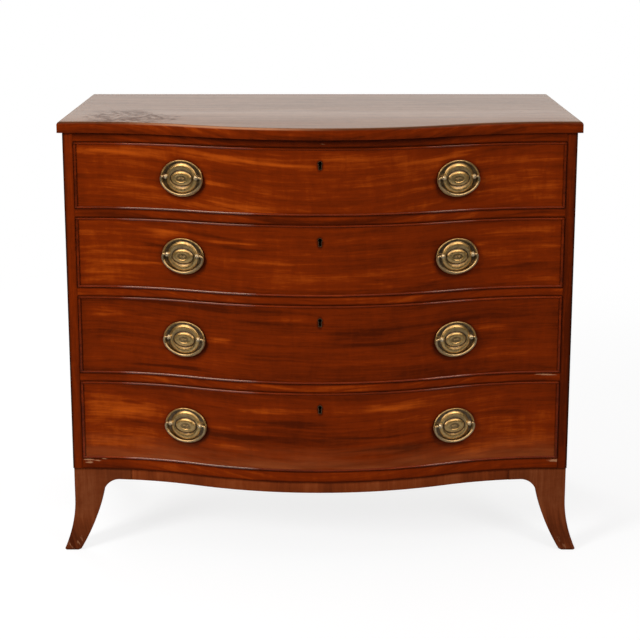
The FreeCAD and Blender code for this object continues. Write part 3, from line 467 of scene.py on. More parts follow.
def wooden(name, turn, seed, colours, tone=0.5, wave=0.035, broad=0.60, streak=0.95, fleck=0.50, mottle=0.30,
           fine=0.16, gloss=(0.26, 0.38), bump=0.00005, level=0.06, flames=(), bare=(), shadows_and_dirt=(), rim=None,
           joints=(), floor_sheen=None, near_black_edges=()):
    """A wood finish: figure, three tones, gloss that follows the figure, and pores as a fine bump."""
    made, tree, shader = new_material(name)
    grain = grain_vector(tree, turn)
    if flames:
        tone = plus(tree, spots(tree, grain, flames), tone)
    # Painted shadow under the plates, dirt with painted shade round them, and a darker patch round the keyhole
    if shadows_and_dirt:
        tone = plus(tree, spots(tree, grain_vector(tree, "face"), shadows_and_dirt, 0.06), tone)
    # Dirt and painted shade round the front, inside its beads
    if rim:
        tone = plus(tree, rim_dirt_and_shade(tree, *rim), tone)
    # Darker lines: dirt in joints, painted shade beside gaps and under overhangs
    for dark_line in joints:
        tone = plus(tree, line_dirt_and_shade(tree, *dark_line), tone)
    figure = use(tree, wood, Grain=grain, Seed=seed, Wave=wave, Broad=broad, Streak=streak, Fleck=fleck,
                 Mottle=mottle, Fine=fine, Tone=tone)
    colour = use(tree, tones, Tone=figure["Tone"], **colours)["Color"]
    if bare:
        splinters = stretched(tree, grain, 160.0, 700.0, 90.0, 2.0)
        ragged = plus(tree, spots(tree, grain, bare, 0.35), splinters)
        colour = blend(tree, spread(tree, ragged, 0.35, 0.75, 0.0, 0.85), colour, BARE_WOOD)
    # A painted reflection: a pale sheen low on the front that stands for the floor's reflection
    if floor_sheen:
        up = object_axes(tree)["Z"]
        cloud = times(tree, stretched(tree, grain, 9.0, 60.0, 9.0, 3.0), 1.1)
        share = plus(tree, spread(tree, up, *floor_sheen, soft=True), cloud)
        share = times(tree, share, spread(tree, up, floor_sheen[0], floor_sheen[1], 1.0, 0.0), clamp=True)
        colour = blend(tree, share, colour, FLOOR_SHEEN_COLOUR)
    # The outer edges of the stiles' face are blended to near-black
    for edge in near_black_edges:
        on_face = spread(tree, object_axes(tree)["Y"], *STILE_FACE, 1.0, 0.0)
        colour = blend(tree, times(tree, line_dirt_and_shade(tree, *edge), on_face), colour, NEAR_BLACK)
    tree.links.new(colour, shader["Base Color"])
    tree.links.new(spread(tree, figure["Tone"], 0.0, 1.0, gloss[1], gloss[0]), shader["Roughness"])
    raised = add(tree, "Bump", {"Strength": 1.0, "Distance": bump, "Height": figure["Height"]})
    tree.links.new(raised.outputs[0], shader["Normal"])
    shader["Specular IOR Level"].default_value = level
    return made, tree, shader


def finish(node_names, material):
    """Gives CAD nodes a finish in place of their plain one."""
    for name in node_names:
        mesh = nodes[name].data
        mesh.materials.clear()
        mesh.materials.append(material)


print("wooden finish is ready")

# %% [markdown]
# The drawer fronts are the show wood. Their flames and dark streaks are placed one by one after the
# photograph, over the figure that all the boards share. A painted shadow lies under each plate, with dirt and painted
# shade round it and a darker patch round each keyhole. Dirt and painted shade run round each front inside its beads,
# and low on the lowest drawer a pale painted sheen stands for the floor's reflection.

# %% Mahogany drawer fronts
MAHOGANY = {
    "Dark": (0.070, 0.0075, 0.0001, 1.0),
    "Middle": (0.180, 0.0185, 0.0002, 1.0),
    "Light": (0.440, 0.0700, 0.0035, 1.0),
}
# Height of each drawer's lower edge above the floor, and of its front
DRAWERS = {1: (0.733, 0.138), 2: (0.568, 0.148), 3: (0.385, 0.166), 4: (0.198, 0.170)}
# Each flame: distance from the middle, share of the drawer's height, half length, half height, strength
FLAMES = {
    1: [(-0.4, 0.88, 0.13, 0.013, 0.4), (-0.17, 0.79, 0.17, 0.011, 0.45), (-0.12, 0.6, 0.16, 0.014, -0.2),
        (-0.2, 0.42, 0.06, 0.008, 0.35), (-0.16, 0.13, 0.09, 0.009, 0.32), (-0.4, 0.35, 0.1, 0.018, 0.16),
        (-0.32, 0.42, 0.03, 0.014, -0.28), (0.265, 0.85, 0.1, 0.01, 0.3), (0.19, 0.7, 0.11, 0.009, 0.18),
        (0.4, 0.28, 0.1, 0.011, 0.18), (0.36, 0.9, 0.07, 0.008, -0.2), (0.05, 0.88, 0.06, 0.012, 0.16),
        (-0.13, 0.45, 0.16, 0.075, 0.07)],
    2: [(-0.42, 0.41, 0.12, 0.01, 0.28), (-0.32, 0.77, 0.08, 0.008, 0.28), (-0.42, 0.14, 0.09, 0.015, 0.22),
        (-0.11, 0.47, 0.11, 0.009, 0.22), (-0.2, 0.79, 0.1, 0.006, -0.45), (-0.17, 0.645, 0.09, 0.006, -0.42),
        (-0.19, 0.72, 0.08, 0.005, 0.22), (-0.35, 0.62, 0.035, 0.005, -0.42), (-0.35, 0.41, 0.05, 0.004, 0.28),
        (0.31, 0.69, 0.08, 0.012, 0.36), (0.42, 0.33, 0.07, 0.008, -0.24), (0.12, 0.25, 0.07, 0.009, -0.2)],
    3: [(-0.43, 0.79, 0.06, 0.01, 0.38), (-0.33, 0.76, 0.05, 0.009, 0.24), (-0.39, 0.43, 0.1, 0.01, 0.22),
        (-0.21, 0.5, 0.05, 0.01, 0.4), (-0.13, 0.78, 0.09, 0.013, -0.26), (-0.32, 0.13, 0.1, 0.006, -0.42),
        (-0.3, 0.94, 0.3, 0.007, -0.25), (0.07, 0.63, 0.08, 0.012, -0.34), (0.2, 0.57, 0.07, 0.012, -0.24),
        (0.355, 0.62, 0.07, 0.009, 0.34), (0.0, 0.45, 0.22, 0.09, -0.1), (0.09, 0.52, 0.12, 0.006, -0.3),
        (-0.07, 0.3, 0.13, 0.005, -0.22)],
    4: [(-0.43, 0.46, 0.13, 0.09, 0.26), (0.0, 0.5, 0.2, 0.09, -0.1), (0.1, 0.42, 0.12, 0.006, -0.34),
        (-0.06, 0.6, 0.08, 0.012, -0.22), (-0.4, 0.62, 0.09, 0.007, 0.24), (-0.4, 0.23, 0.11, 0.01, 0.16),
        (-0.385, 0.75, 0.03, 0.006, -0.3), (-0.18, 0.45, 0.11, 0.008, -0.42), (-0.38, 0.48, 0.08, 0.006, -0.28),
        (-0.18, 0.27, 0.07, 0.013, 0.26), (-0.13, 0.76, 0.1, 0.01, 0.22), (0.17, 0.27, 0.11, 0.01, -0.32),
        (0.17, 0.8, 0.09, 0.01, 0.26), (0.39, 0.6, 0.08, 0.008, -0.26), (0.31, 0.11, 0.05, 0.013, 0.34)],
}
TONES = {1: 0.48, 2: 0.45, 3: 0.36, 4: 0.43}
# Painted shadow under each handle plate, towards the middle; dirt with painted shade round each plate; a darker patch
# round the keyhole
SHADOWS_AND_DIRT = {
    number: [
        *((side * 0.273, floor_z + height / 2 - 0.010, 0.0400, 0.0345, -3.0) for side in (-1, 1)),
        *((side * 0.277, floor_z + height / 2, 0.0460, 0.0390, -2.0) for side in (-1, 1)),
        (0.0, floor_z + height - 0.0365, 0.0075, 0.0130, -1.3),
    ] for number, (floor_z, height) in DRAWERS.items()
}
# Painted reflection of the floor, a pale sheen, by drawer: from and to which height, and how much at each of the two
FLOOR_SHEEN = {4: (0.196, 0.275, 0.42, 0.0)}
FRONT_HALF = 0.4988


def on_front(number, flames):
    """A drawer's flames as places in its grain vector."""
    floor_z, height = DRAWERS[number]
    lean = GRAIN[f"drawer_{number}"][1][1]
    return [(x, floor_z + share * height + lean * front_y(x), *rest) for x, share, *rest in flames]


for number in DRAWERS:
    front, _, _ = wooden(f"mahogany_drawer_{number}", f"drawer_{number}", 3.1 * number, MAHOGANY, tone=TONES[number],
                         flames=on_front(number, FLAMES[number]), shadows_and_dirt=SHADOWS_AND_DIRT[number],
                         rim=(*DRAWERS[number], FRONT_HALF), floor_sheen=FLOOR_SHEEN.get(number))
    finish([f"drawer_{number}_front"], front)
print("four drawer fronts with", sum(map(len, FLAMES.values())), "flames")

# %% [markdown]
# Each front is edged with thin beads that stand proud of it and take the knocks. They are darker than the front and
# nearly dull, but keep a bright polish in two stretches, most of all on the lower bead. The upright beads at the ends
# are darkened further as painted shade, since they face sideways.

# %% Beads
# Where the beads keep their polish: middle, half length, fade, weight; elsewhere it is nearly worn off
BEAD_POLISH = [(-0.27, 0.115, 0.035, 1.0), (0.262, 0.020, 0.045, 0.60)]
BEAD_WORN = 0.10
UPPER_BEAD = 0.52
BEAD_TONE = 0.37
# The upright end beads are darkened as painted shade, since they face sideways
BEAD_END_SHADE = [("X", (-FRONT_HALF, FRONT_HALF), 0.008, -0.22)]
BEAD_COAT = {"Coat Roughness": 0.22, "Coat IOR": 2.35}


def bead_polish(tree, number):
    """The beads' coat along the front; the lower bead keeps more of it than the upper one."""
    floor_z, height = DRAWERS[number]
    place = object_axes(tree)
    coat = None
    for middle, half, fade, weight in BEAD_POLISH:
        away = sums(tree, "ABSOLUTE", minus(tree, place["X"], middle))
        kept = spread(tree, away, half, half + fade, weight, BEAD_WORN, soft=True)
        coat = kept if coat is None else sums(tree, "MAXIMUM", coat, kept)
    upward = spread(tree, place["Z"], floor_z, floor_z + height, 1.0, UPPER_BEAD)
    return times(tree, coat, upward)


for number in DRAWERS:
    bead, tree, shader = wooden(f"mahogany_bead_{number}", f"drawer_{number}", 20 + number, MAHOGANY,
                                tone=BEAD_TONE, joints=BEAD_END_SHADE)
    tree.links.new(bead_polish(tree, number), shader["Coat Weight"])
    for key, value in BEAD_COAT.items():
        shader[key].default_value = value
    finish([f"drawer_{number}_cockbeads"], bead)
print("beads polished in", len(BEAD_POLISH), "stretches")

# %% [markdown]
# The case is of the same mahogany, with the grain along the rails and up the stiles and sides. Its outer front
# corners are blended to near-black along their edge, and bare wood shows in chips at the ends of the two lowest rails.
# Beside each opening the rails and stiles carry darker lines of dirt and painted shade, and the top rail carries a
# painted shadow from the top's overhang.

# %% Mahogany case
def on_rail(x, z, *rest):
    """A place on the rails' face as a place in their grain vector."""
    return (x, z - RAIL_LEAN * front_y(x), *rest)


BASE_TOP = 0.176
CASE_TOP = 0.890
RAIL_EDGES = [edge for floor_z, height in DRAWERS.values() for edge in (floor_z, floor_z + height)]
# Chips of bare wood: place along the rail, height, half length, half height
CHIPS = [on_rail(*chip, 1.0) for chip in (
    (-0.484, 0.1945, 0.018, 0.0031), (-0.488, 0.189, 0.012, 0.0028), (-0.464, 0.1925, 0.01, 0.002),
    (-0.447, 0.1972, 0.01, 0.001), (0.498, 0.1945, 0.027, 0.0042), (0.478, 0.381, 0.022, 0.0022),
    (0.462, 0.3822, 0.016, 0.001), (0.009, 0.8785, 0.005, 0.0016))]
# Darker and lighter stretches of the rails, in the same measures and with a strength
RAIL_STRETCHES = [on_rail(*stretch) for stretch in (
    (-0.4, 0.7245, 0.12, 0.01, -0.2), (0.44, 0.7245, 0.1, 0.01, -0.34), (0.06, 0.7245, 0.4, 0.014, -0.52),
    (0.45, 0.5595, 0.07, 0.01, -0.14), (-0.44, 0.3765, 0.07, 0.01, -0.16), (0.43, 0.3765, 0.06, 0.01, -0.25),
    (-0.05, 0.3765, 0.34, 0.012, 0.3), (0.0, 0.5595, 0.3, 0.012, -0.1), (-0.46, 0.88, 0.08, 0.012, -0.25),
    (0.0, 0.187, 0.42, 0.014, 0.13))]
case_finish = {
    # Rails: darker lines beside the openings and at the base are dirt and painted shade; the top rail has a painted
    # shadow from the top's overhang
    "rails": wooden("mahogany_rails", "rail", 11.3, MAHOGANY, tone=0.47, bare=CHIPS, flames=RAIL_STRETCHES,
                    joints=[("Z", [BASE_TOP, *RAIL_EDGES], 0.004, -0.5), ("Z", (CASE_TOP,), 0.022, -0.26)])[0],
    # Stiles: darker lines beside the openings are painted shade; their outer edges are blended to near-black
    "stiles": wooden("mahogany_stiles", "upright", 12.9, MAHOGANY, tone=0.43, broad=0.6,
                     joints=[("X", (-0.5, 0.5), 0.005, -0.25)], near_black_edges=[("X", (-0.521, 0.521), 0.0072, 0.97)],
                     flames=[(0.53, 0.33, 1.2, 0.2, -0.36)])[0],
    "sides": wooden("mahogany_sides", "upright", 14.2, MAHOGANY, tone=0.44)[0],
}
print("case finishes:", *case_finish)

# %% [markdown]
# The apron and the feet are of a browner, plainer wood with upright grain. A dark line with painted shade runs
# along the joint under the case, and there are dark joints where the apron meets the feet. The front feet are darker
# towards their tips, which are scuffed by brooms.

# %% Apron and feet
BASE_WOOD = {
    "Dark": (0.055, 0.0095, 0.0018, 1.0),
    "Middle": (0.146, 0.0300, 0.0072, 1.0),
    "Light": (0.270, 0.0790, 0.0270, 1.0),
}
PLAIN = {"broad": 0.8, "streak": 0.6, "fleck": 0.35, "mottle": 0.25, "fine": 0.12}
# A dark line with painted shade under the case; dark joints where the apron meets the feet
BASE_JOINTS_AND_SHADE = [("Z", (BASE_TOP,), 0.006, -0.6), ("X", (-0.398, 0.398), 0.003, -0.35)]
APRON_WOOD = {
    "Dark": (0.070, 0.0100, 0.0016, 1.0),
    "Middle": (0.185, 0.0330, 0.0060, 1.0),
    "Light": (0.300, 0.0760, 0.0210, 1.0),
}
APRON_ENDS = [(0.164, x + y, 0.05, 0.12, -0.16) for x, y in ((-0.36, -0.19), (0.36, -0.19))]
case_finish["apron"] = wooden("mahogany_apron", "upright", 17.7, APRON_WOOD, tone=0.50, **PLAIN,
                              flames=APRON_ENDS, joints=BASE_JOINTS_AND_SHADE)[0]
# The front feet are darker towards their tips, with a lighter patch higher up
FOOT_TIP_TONES = [(0.030, x + y, 0.045, 0.08, -0.30) for x, y in ((-0.52, -0.2), (0.50, -0.2))]
FOOT_TIP_TONES.append((0.100, 0.33, 0.14, 0.12, 0.10))
SCUFFS = [(z, x + y, 0.008, 0.006, 0.58) for z, x, y in (
    (0.008, -0.528, -0.205), (0.016, -0.512, -0.203), (0.030, -0.505, -0.200), (0.009, 0.520, -0.205),
    (0.022, 0.512, -0.203))]
case_finish["feet"] = wooden("mahogany_feet", "upright", 19.1, BASE_WOOD, tone=0.48, **PLAIN,
                             flames=FOOT_TIP_TONES, bare=SCUFFS, joints=BASE_JOINTS_AND_SHADE)[0]
print("case finishes:", *case_finish)

# %% [markdown]
# The top is one board with two looks. Its face is a browner wood that has bleached, and its lip, which is
# seen with the rails, is as red as they are. The height tells one from the other.

# %% Wood of the top
TOP_WOOD = {
    "Dark": (0.110, 0.0330, 0.0060, 1.0),
    "Middle": (0.200, 0.0640, 0.0120, 1.0),
    "Light": (0.290, 0.1000, 0.0220, 1.0),
}
TOP_FACE = (0.9085, 0.9127)
LIP_MIDDLE = 0.9015
LIP_PROUD = 0.022
LIP_TONE = 0.39
LIVELY = {"Wave": 0.035, "Broad": 0.55, "Streak": 1.0, "Fleck": 0.75, "Mottle": 0.35}
# Lighter and darker stretches of the lip
LIP_STRETCHES = [
    (x, LIP_MIDDLE - RAIL_LEAN * (front_y(x) - LIP_PROUD), long, 0.020, strength) for x, long, strength in (
        (-0.50, 0.08, -0.08), (-0.22, 0.20, 0.16), (0.04, 0.14, -0.16), (0.42, 0.20, -0.08))]
top_finish, tree, shader = new_material("mahogany_top")
grain = grain_vector(tree, "flat")
height = add(tree, "SeparateXYZ", {0: grain}).outputs["Z"]
face = spread(tree, height, *TOP_FACE, soft=True)
figure = use(tree, wood, Grain=grain, Seed=15.7, **LIVELY, Fine=0.35, Tone=0.5)
lip_grain = grain_vector(tree, "rail")
# Painted shade on the lip's lower part, darker towards the case below
lip_shade = line_dirt_and_shade(tree, "Z", (CASE_TOP,), 0.013, -0.20)
lip_tone = plus(tree, spots(tree, lip_grain, LIP_STRETCHES, 0.3), lip_shade)
lip_tone = plus(tree, lip_tone, LIP_TONE)
lip_figure = use(tree, wood, Grain=lip_grain, Seed=16.4, **LIVELY, Fine=0.16, Tone=lip_tone)
lip = use(tree, tones, Tone=lip_figure["Tone"], **MAHOGANY)["Color"]
board = use(tree, tones, Tone=figure["Tone"], **TOP_WOOD)["Color"]
colour = blend(tree, face, lip, board)
print("wood of the top with", len(tree.nodes), "nodes")

# %% [markdown]
# Near the left front corner the old polish has crazed: fine cracks between the cells of a warped pattern,
# broken off here and there, where the wood shows dark. Along the arris between face and lip a dark line is painted
# as shade, and along the left part of the front a light line as a painted highlight.

# %% Crazing and arris
CRAZED = (0.080, 0.0220, 0.0070, 1.0)
# Painted shade and a painted highlight along the arris
ARRIS_SHADE_COLOUR = (0.022, 0.0060, 0.0015, 1.0)
ARRIS_HIGHLIGHT_COLOUR = (0.480, 0.1900, 0.0850, 1.0)
ARRIS_PROUD = 0.020
ARRIS_FOOT = (0.9080, 0.9105)
ARRIS_HEAD = (0.9115, 0.9128)
CRAZED_CORNER = [(-0.42, -0.09, 0.09, 0.11, 1.0), (-0.34, -0.14, 0.08, 0.07, 0.9), (-0.39, -0.18, 0.10, 0.05, 0.9)]
# Where the arris gets its painted highlight
ARRIS_HIGHLIGHT_SPOTS = [(x, front_y(x) - ARRIS_PROUD, 0.14, 0.05, 0.85) for x in (-0.30, -0.20, -0.10)]
CRACK_WARP = (0.05, 0.05, 0.0)
CRACK_EDGES = (0.05, 0.24)

corner = spots(tree, grain, CRAZED_CORNER, 0.6)
noise = add(tree, "TexNoise", {"Vector": grain, "Scale": 34.0, "Detail": 3.0}).outputs["Color"]
warp = add(tree, "VectorMath", {0: noise, 1: CRACK_WARP, 2: grain}, operation="MULTIPLY_ADD").outputs[0]
cracks = add(tree, "TexVoronoi", {"Vector": warp, "Scale": 40.0}, feature="DISTANCE_TO_EDGE").outputs["Distance"]
broken = spread(tree, stretched(tree, grain, 24.0, 24.0, 4.0, 3.0), -0.20, -0.02, 0.0, 1.25)
lines = spread(tree, cracks, *CRACK_EDGES, 1.0, 0.0)
lines = times(tree, lines, times(tree, broken, face))
worn = times(tree, spread(tree, corner, 0.2, 0.6), lines, clamp=True)
arris = times(tree, spread(tree, height, *ARRIS_FOOT), spread(tree, height, *ARRIS_HEAD, 1.0, 0.0))
colour = blend(tree, times(tree, worn, 0.8), colour, CRAZED)
# A painted highlight on the arris along the left part of the front, and painted shade along the whole arris
arris_highlight = times(tree, arris, spots(tree, grain, ARRIS_HIGHLIGHT_SPOTS, 0.2), clamp=True)
colour = blend(tree, times(tree, arris, 0.5), colour, ARRIS_SHADE_COLOUR)
tree.links.new(blend(tree, arris_highlight, colour, ARRIS_HIGHLIGHT_COLOUR), shader["Base Color"])
print("crazing in", len(CRAZED_CORNER), "spots")

# %% [markdown]
# The top was polished more than the rest, so it has a coat of its own. The coat is a little smoky, thin
# over the cracks and nearly gone on the lip.

# %% Polish of the top
COAT_KEPT = (0.35, 0.44)
COAT_LOST = 0.37
LIP_COAT = 0.06

smoky = stretched(tree, grain, 1.6, 24.0, 2.0, 4.0, 0.6)
polish = spread(tree, smoky, -0.25, 0.25, *COAT_KEPT)
polish = minus(tree, polish, times(tree, worn, COAT_LOST))
on_face = spread(tree, face, 0.0, 1.0, LIP_COAT, 1.0)
tree.links.new(times(tree, polish, on_face), shader["Coat Weight"])
tree.links.new(spread(tree, figure["Tone"], 0.0, 1.0, 0.38, 0.28), shader["Roughness"])
shader["Coat Roughness"].default_value = 0.12
shader["Specular IOR Level"].default_value = 0.06
case_finish["top"] = top_finish
print("polished top with", len(tree.nodes), "nodes")

# %% [markdown]
# A plane and a scraper leave every edge a little soft. The CAD edges are sharp, so the visible boards
# of the case are copied, merged, and their edges rounded by less than a millimetre.

# %% Eased boards
def eased(node_name, material, width, sole=0.0):
    """A CAD node's copy with its sharp edges rounded, in the node's place; a foot's sole is chamfered too."""
    work = bmesh.new()
    work.from_mesh(nodes[node_name].data)
    if sole:
        mitre = [f for f in work.faces if abs(abs(f.normal.x) - abs(f.normal.y)) < 0.01 and abs(f.normal.z) < 0.01]
        bmesh.ops.delete(work, geom=mitre, context="FACES")
    bmesh.ops.remove_doubles(work, verts=work.verts, dist=1e-5)
    bmesh.ops.dissolve_limit(work, angle_limit=math.radians(0.2), verts=work.verts, edges=work.edges)
    if sole:
        ground = [e for e in work.edges if max(v.co.z for v in e.verts) < 1e-4 and e.calc_face_angle() > 0.5]
        bmesh.ops.bevel(work, geom=ground, offset=sole, segments=1, affect="EDGES")
    sharp = [e for e in work.edges if len(e.link_faces) == 2 and e.calc_face_angle() > math.radians(35)]
    bmesh.ops.bevel(work, geom=sharp, offset=width, segments=2, profile=0.5, affect="EDGES", clamp_overlap=True)
    mesh = bpy.data.meshes.new(node_name + "_eased")
    work.to_mesh(mesh)
    work.free()
    mesh.shade_smooth()
    mesh.set_sharp_from_angle(angle=math.radians(40))
    mesh.materials.append(material)
    piece = bpy.data.objects.new(node_name + "_eased", mesh)
    scene.collection.objects.link(piece)
    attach(piece, "case")
    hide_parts(node_name)
    return len(mesh.polygons)


EASED = {
    "rails": ("top_rail", "drawer_rails", "bottom_rail"),
    "stiles": ("corner_stiles",),
    "sides": ("left_side", "right_side"),
    "apron": ("apron",),
    "feet": ("left_front_foot", "right_front_foot"),
    "top": ("top",),
}
EASE = 0.0006
SOLE_CHAMFER = 0.0045
for kind, names in EASED.items():
    for name in names:
        print(name, eased(name, case_finish[kind], EASE, SOLE_CHAMFER if kind == "feet" else 0.0), "faces")
finish(["left_back_foot", "right_back_foot"], case_finish["feet"])

# %% [markdown]
# Where nobody looks, cheaper woods do the work: oak for the drawers' linings and bottoms, pine for the
# back, the boards between the drawers and the runners. They were never polished, so they are dull. They
# need only the shared figure with other colours.

# %% Oak and pine
OAK = {"Dark": (0.17, 0.080, 0.026, 1.0), "Middle": (0.33, 0.175, 0.064, 1.0), "Light": (0.48, 0.29, 0.125, 1.0)}
PINE = {"Dark": (0.17, 0.070, 0.020, 1.0), "Middle": (0.32, 0.155, 0.049, 1.0), "Light": (0.45, 0.25, 0.095, 1.0)}
DULL = {"gloss": (0.6, 0.75), "level": 0.3}
for number in DRAWERS:
    finish([f"drawer_{number}_linings"], wooden(f"oak_linings_{number}", "front_to_back", 40 + number, OAK, **DULL)[0])
    finish([f"drawer_{number}_bottom"], wooden(f"oak_bottom_{number}", "flat", 50 + number, OAK, **DULL)[0])
BACK_JOINTS = [("X", (-0.256, 0, 0.256), 0.006, -0.3)]
finish(["back_boards"], wooden("pine_back", "upright", 60, PINE, **DULL, joints=BACK_JOINTS)[0])
finish(["case_bottom", "dust_boards", "drawer_stops"], wooden("pine_boards", "flat", 61, PINE, **DULL)[0])
finish(["back_top_rail", "foot_blocks"], wooden("pine_rails", "flat", 62, PINE, **DULL)[0])
finish(["drawer_runners"], wooden("pine_runners", "front_to_back", 63, PINE, **DULL)[0])
print("oak in", len(DRAWERS), "drawers, pine in the case")

# %% [markdown]
# Old brass is bright where hands and cloths rub it and brown where they do not reach. The plates carry an attribute
# of patina and painted shade, high in their sunk rings, with painted shade on one slope, and they are under a thin
# lacquer; bails and knobs are rubbed paler. The locks and the rims of the keyholes have gone nearly black, and inside
# each keyhole near-black is painted as its shade.

# %% Brass and steel
# The inside of the keyhole in the lock plate, painted near-black as shade
KEYWAY_HALF = (0.0037, 0.0042)
KEYWAY_MOUTH = (-0.2712, -0.2702)
KEYWAY_END = (-0.2526, -0.2520)
BRASS_COAT = {"Coat Roughness": 0.24, "Coat IOR": 1.9}


def brassy(name, bright, dull, sunk_colour, rough, lacquer=0.0, metal_share=1.0, keyway=False):
    """Old brass: two tones in soft clouds, a third where the attribute of patina and painted shade is high, and
    near-black painted shade inside a keyhole.
    """
    made, tree, shader = new_material(name)
    place = add(tree, "TexCoord").outputs["Object"]
    cloud = add(tree, "TexNoise", {"Vector": place, "Scale": 140.0, "Detail": 4.0}).outputs["Fac"]
    sunk = add(tree, "Attribute", attribute_name="patina").outputs["Fac"]
    # Inside a keyhole the brass is painted near-black: painted shade of the hole
    if keyway:
        axes = add(tree, "SeparateXYZ", {0: place}).outputs
        narrow = spread(tree, sums(tree, "ABSOLUTE", axes["X"]), *KEYWAY_HALF, 1.6, 0.0)
        inward = spread(tree, axes["Y"], *KEYWAY_MOUTH)
        deep = times(tree, inward, spread(tree, axes["Y"], *KEYWAY_END, 1.0, 0.0))
        sunk = times(tree, narrow, deep)
    metal = blend(tree, spread(tree, cloud, 0.35, 0.7), bright, dull)
    patches = times(tree, minus(tree, cloud, 0.5), 0.5)
    depth = spread(tree, plus(tree, sunk, patches), 0.05, 0.95)
    tree.links.new(blend(tree, depth, metal, sunk_colour), shader["Base Color"])
    gloss = spread(tree, cloud, 0.3, 0.7, rough - 0.05, rough + 0.07)
    tree.links.new(plus(tree, gloss, times(tree, sunk, 0.12)), shader["Roughness"])
    shader["Metallic"].default_value = metal_share
    shader["Coat Weight"].default_value = lacquer
    for key, value in BRASS_COAT.items():
        shader[key].default_value = value
    return made


RUBBED_DIRT = (0.30, 0.20, 0.08, 1.0)
plate_brass = brassy("stamped_brass", (0.72, 0.475, 0.177, 1.0), (0.54, 0.329, 0.089, 1.0),
                     (0.072, 0.036, 0.006, 1.0), 0.30, lacquer=0.55, metal_share=0.90)
rubbed_brass = brassy("rubbed_brass", (0.70, 0.54, 0.315, 1.0), (0.61, 0.458, 0.24, 1.0), RUBBED_DIRT, 0.36)
knob_brass = brassy("knob_brass", (0.86, 0.745, 0.52, 1.0), (0.76, 0.633, 0.40, 1.0), RUBBED_DIRT, 0.52)
lock_brass = brassy("lock_brass", (0.20, 0.14, 0.085, 1.0), (0.11, 0.075, 0.042, 1.0),
                    (0.004, 0.003, 0.002, 1.0), 0.42, keyway=True)
for number in DRAWERS:
    finish([f"drawer_{number}_{part}" for part in ("left_bail", "right_bail")], rubbed_brass)
    finish([f"drawer_{number}_handle_posts"], knob_brass)
    finish([f"drawer_{number}_{part}" for part in ("lock", "lock_bolt")], lock_brass)
steel, tree, shader = new_material("screw_steel")
place = add(tree, "TexCoord").outputs["Object"]
cloud = add(tree, "TexNoise", {"Vector": place, "Scale": 200.0, "Detail": 3.0}).outputs["Fac"]
tree.links.new(spread(tree, cloud, 0.3, 0.7, 0.35, 0.55), shader["Roughness"])
tree.links.new(blend(tree, cloud, (0.25, 0.22, 0.20, 1.0), (0.45, 0.43, 0.40, 1.0)), shader["Base Color"])
shader["Metallic"].default_value = 1.0
finish(["top_screws"], steel)
print("brass on", len(DRAWERS), "drawers, steel on the screws")

# %% [markdown]
# The handle plates are stamped brass: a rolled rim, a sunk ring, a raised ring and a raised middle with
# a small rosette. One section, swept round a narrowing oval, makes the whole plate. It starts behind
# the middle, runs out along the flat back, over the rim and in across the rings to the middle again.

# %% Section of a plate
# Half width, half height and rise of each oval ring, in millimetres
PLATE_SECTION = [
    (0, 0, 0), (20, 16, 0), (34, 27.5, 0), (41, 33, 0), (44, 35.6, 0), (45.2, 36.7, 0.05), (45.9, 37.4, 0.5),
    (46, 37.5, 1.3), (45.7, 37.2, 2.3), (45, 36.5, 3.0), (44.2, 35.7, 3.2), (43.4, 35.0, 2.9), (42.8, 34.5, 2.1),
    (42.2, 34.0, 1.4), (41.2, 33.5, 1.1), (38.2, 32.6, 1.0), (35.2, 31.7, 1.0), (33.8, 31.1, 1.1), (33.0, 30.6, 1.6),
    (32.2, 29.9, 2.3), (31.2, 28.9, 3.0), (30.1, 27.6, 3.65), (28.9, 26.1, 4.15), (27.5, 24.1, 4.4), (26.1, 21.5, 4.0),
    (24.9, 18.8, 3.1), (24.2, 17.2, 2.55), (23.6, 16.3, 2.15), (23.1, 15.7, 2.2), (22.6, 15.2, 2.8), (21.8, 14.4, 3.65),
    (20.7, 13.4, 4.5), (19.2, 12.1, 5.15), (17.2, 10.5, 5.6), (15.0, 9.0, 5.85), (13.2, 7.8, 5.75), (12.4, 7.2, 5.4),
    (11.5, 6.6, 5.2), (8, 5.1, 5.1), (4, 2.6, 5.1), (0, 0, 5.1),
]
section_curve = bpy.data.curves.new("plate_section", "CURVE")
section_curve.dimensions = "3D"
line = section_curve.splines.new("POLY")
line.points.add(len(PLATE_SECTION) - 1)
for point, sizes in zip(line.points, PLATE_SECTION):
    point.co = (*(size / 1000 for size in sizes), 1.0)
section_object = bpy.data.objects.new("plate_section", section_curve)
scene.collection.objects.link(section_object)
print("plate section of", len(PLATE_SECTION), "rings")

# %% [markdown]
# A Geometry Nodes tree makes a plate from that section, because every ring follows the same rule: a grid
# is wrapped round the oval, and its rows follow the section. The rows lie closer where the rings are.

# %% Tree for a plate
def geometry_tree(name, inputs):
    """A Geometry Nodes tree with named inputs and one geometry output; returns the tree, sockets and end."""
    tree = bpy.data.node_groups.new(name, "GeometryNodeTree")
    for key, kind in inputs.items():
        tree.interface.new_socket(key, in_out="INPUT", socket_type="NodeSocket" + kind)
    tree.interface.new_socket("Geometry", in_out="OUTPUT", socket_type="NodeSocketGeometry")
    inside = tree.nodes.new("NodeGroupInput").outputs
    end = tree.nodes.new("NodeGroupOutput").inputs["Geometry"]
    return tree, inside, end


def step(tree, kind, inputs=(), **settings):
    """One geometry node, with inputs as add() takes them."""
    made = tree.nodes.new(kind)
    for key, value in settings.items():
        setattr(made, key, value)
    fill(tree, made, dict(inputs))
    return made.outputs


ROW_CROWDING = 0.6
PETAL_EDGES = (-0.6, 0.8)
FRONT_ABOVE = 0.003

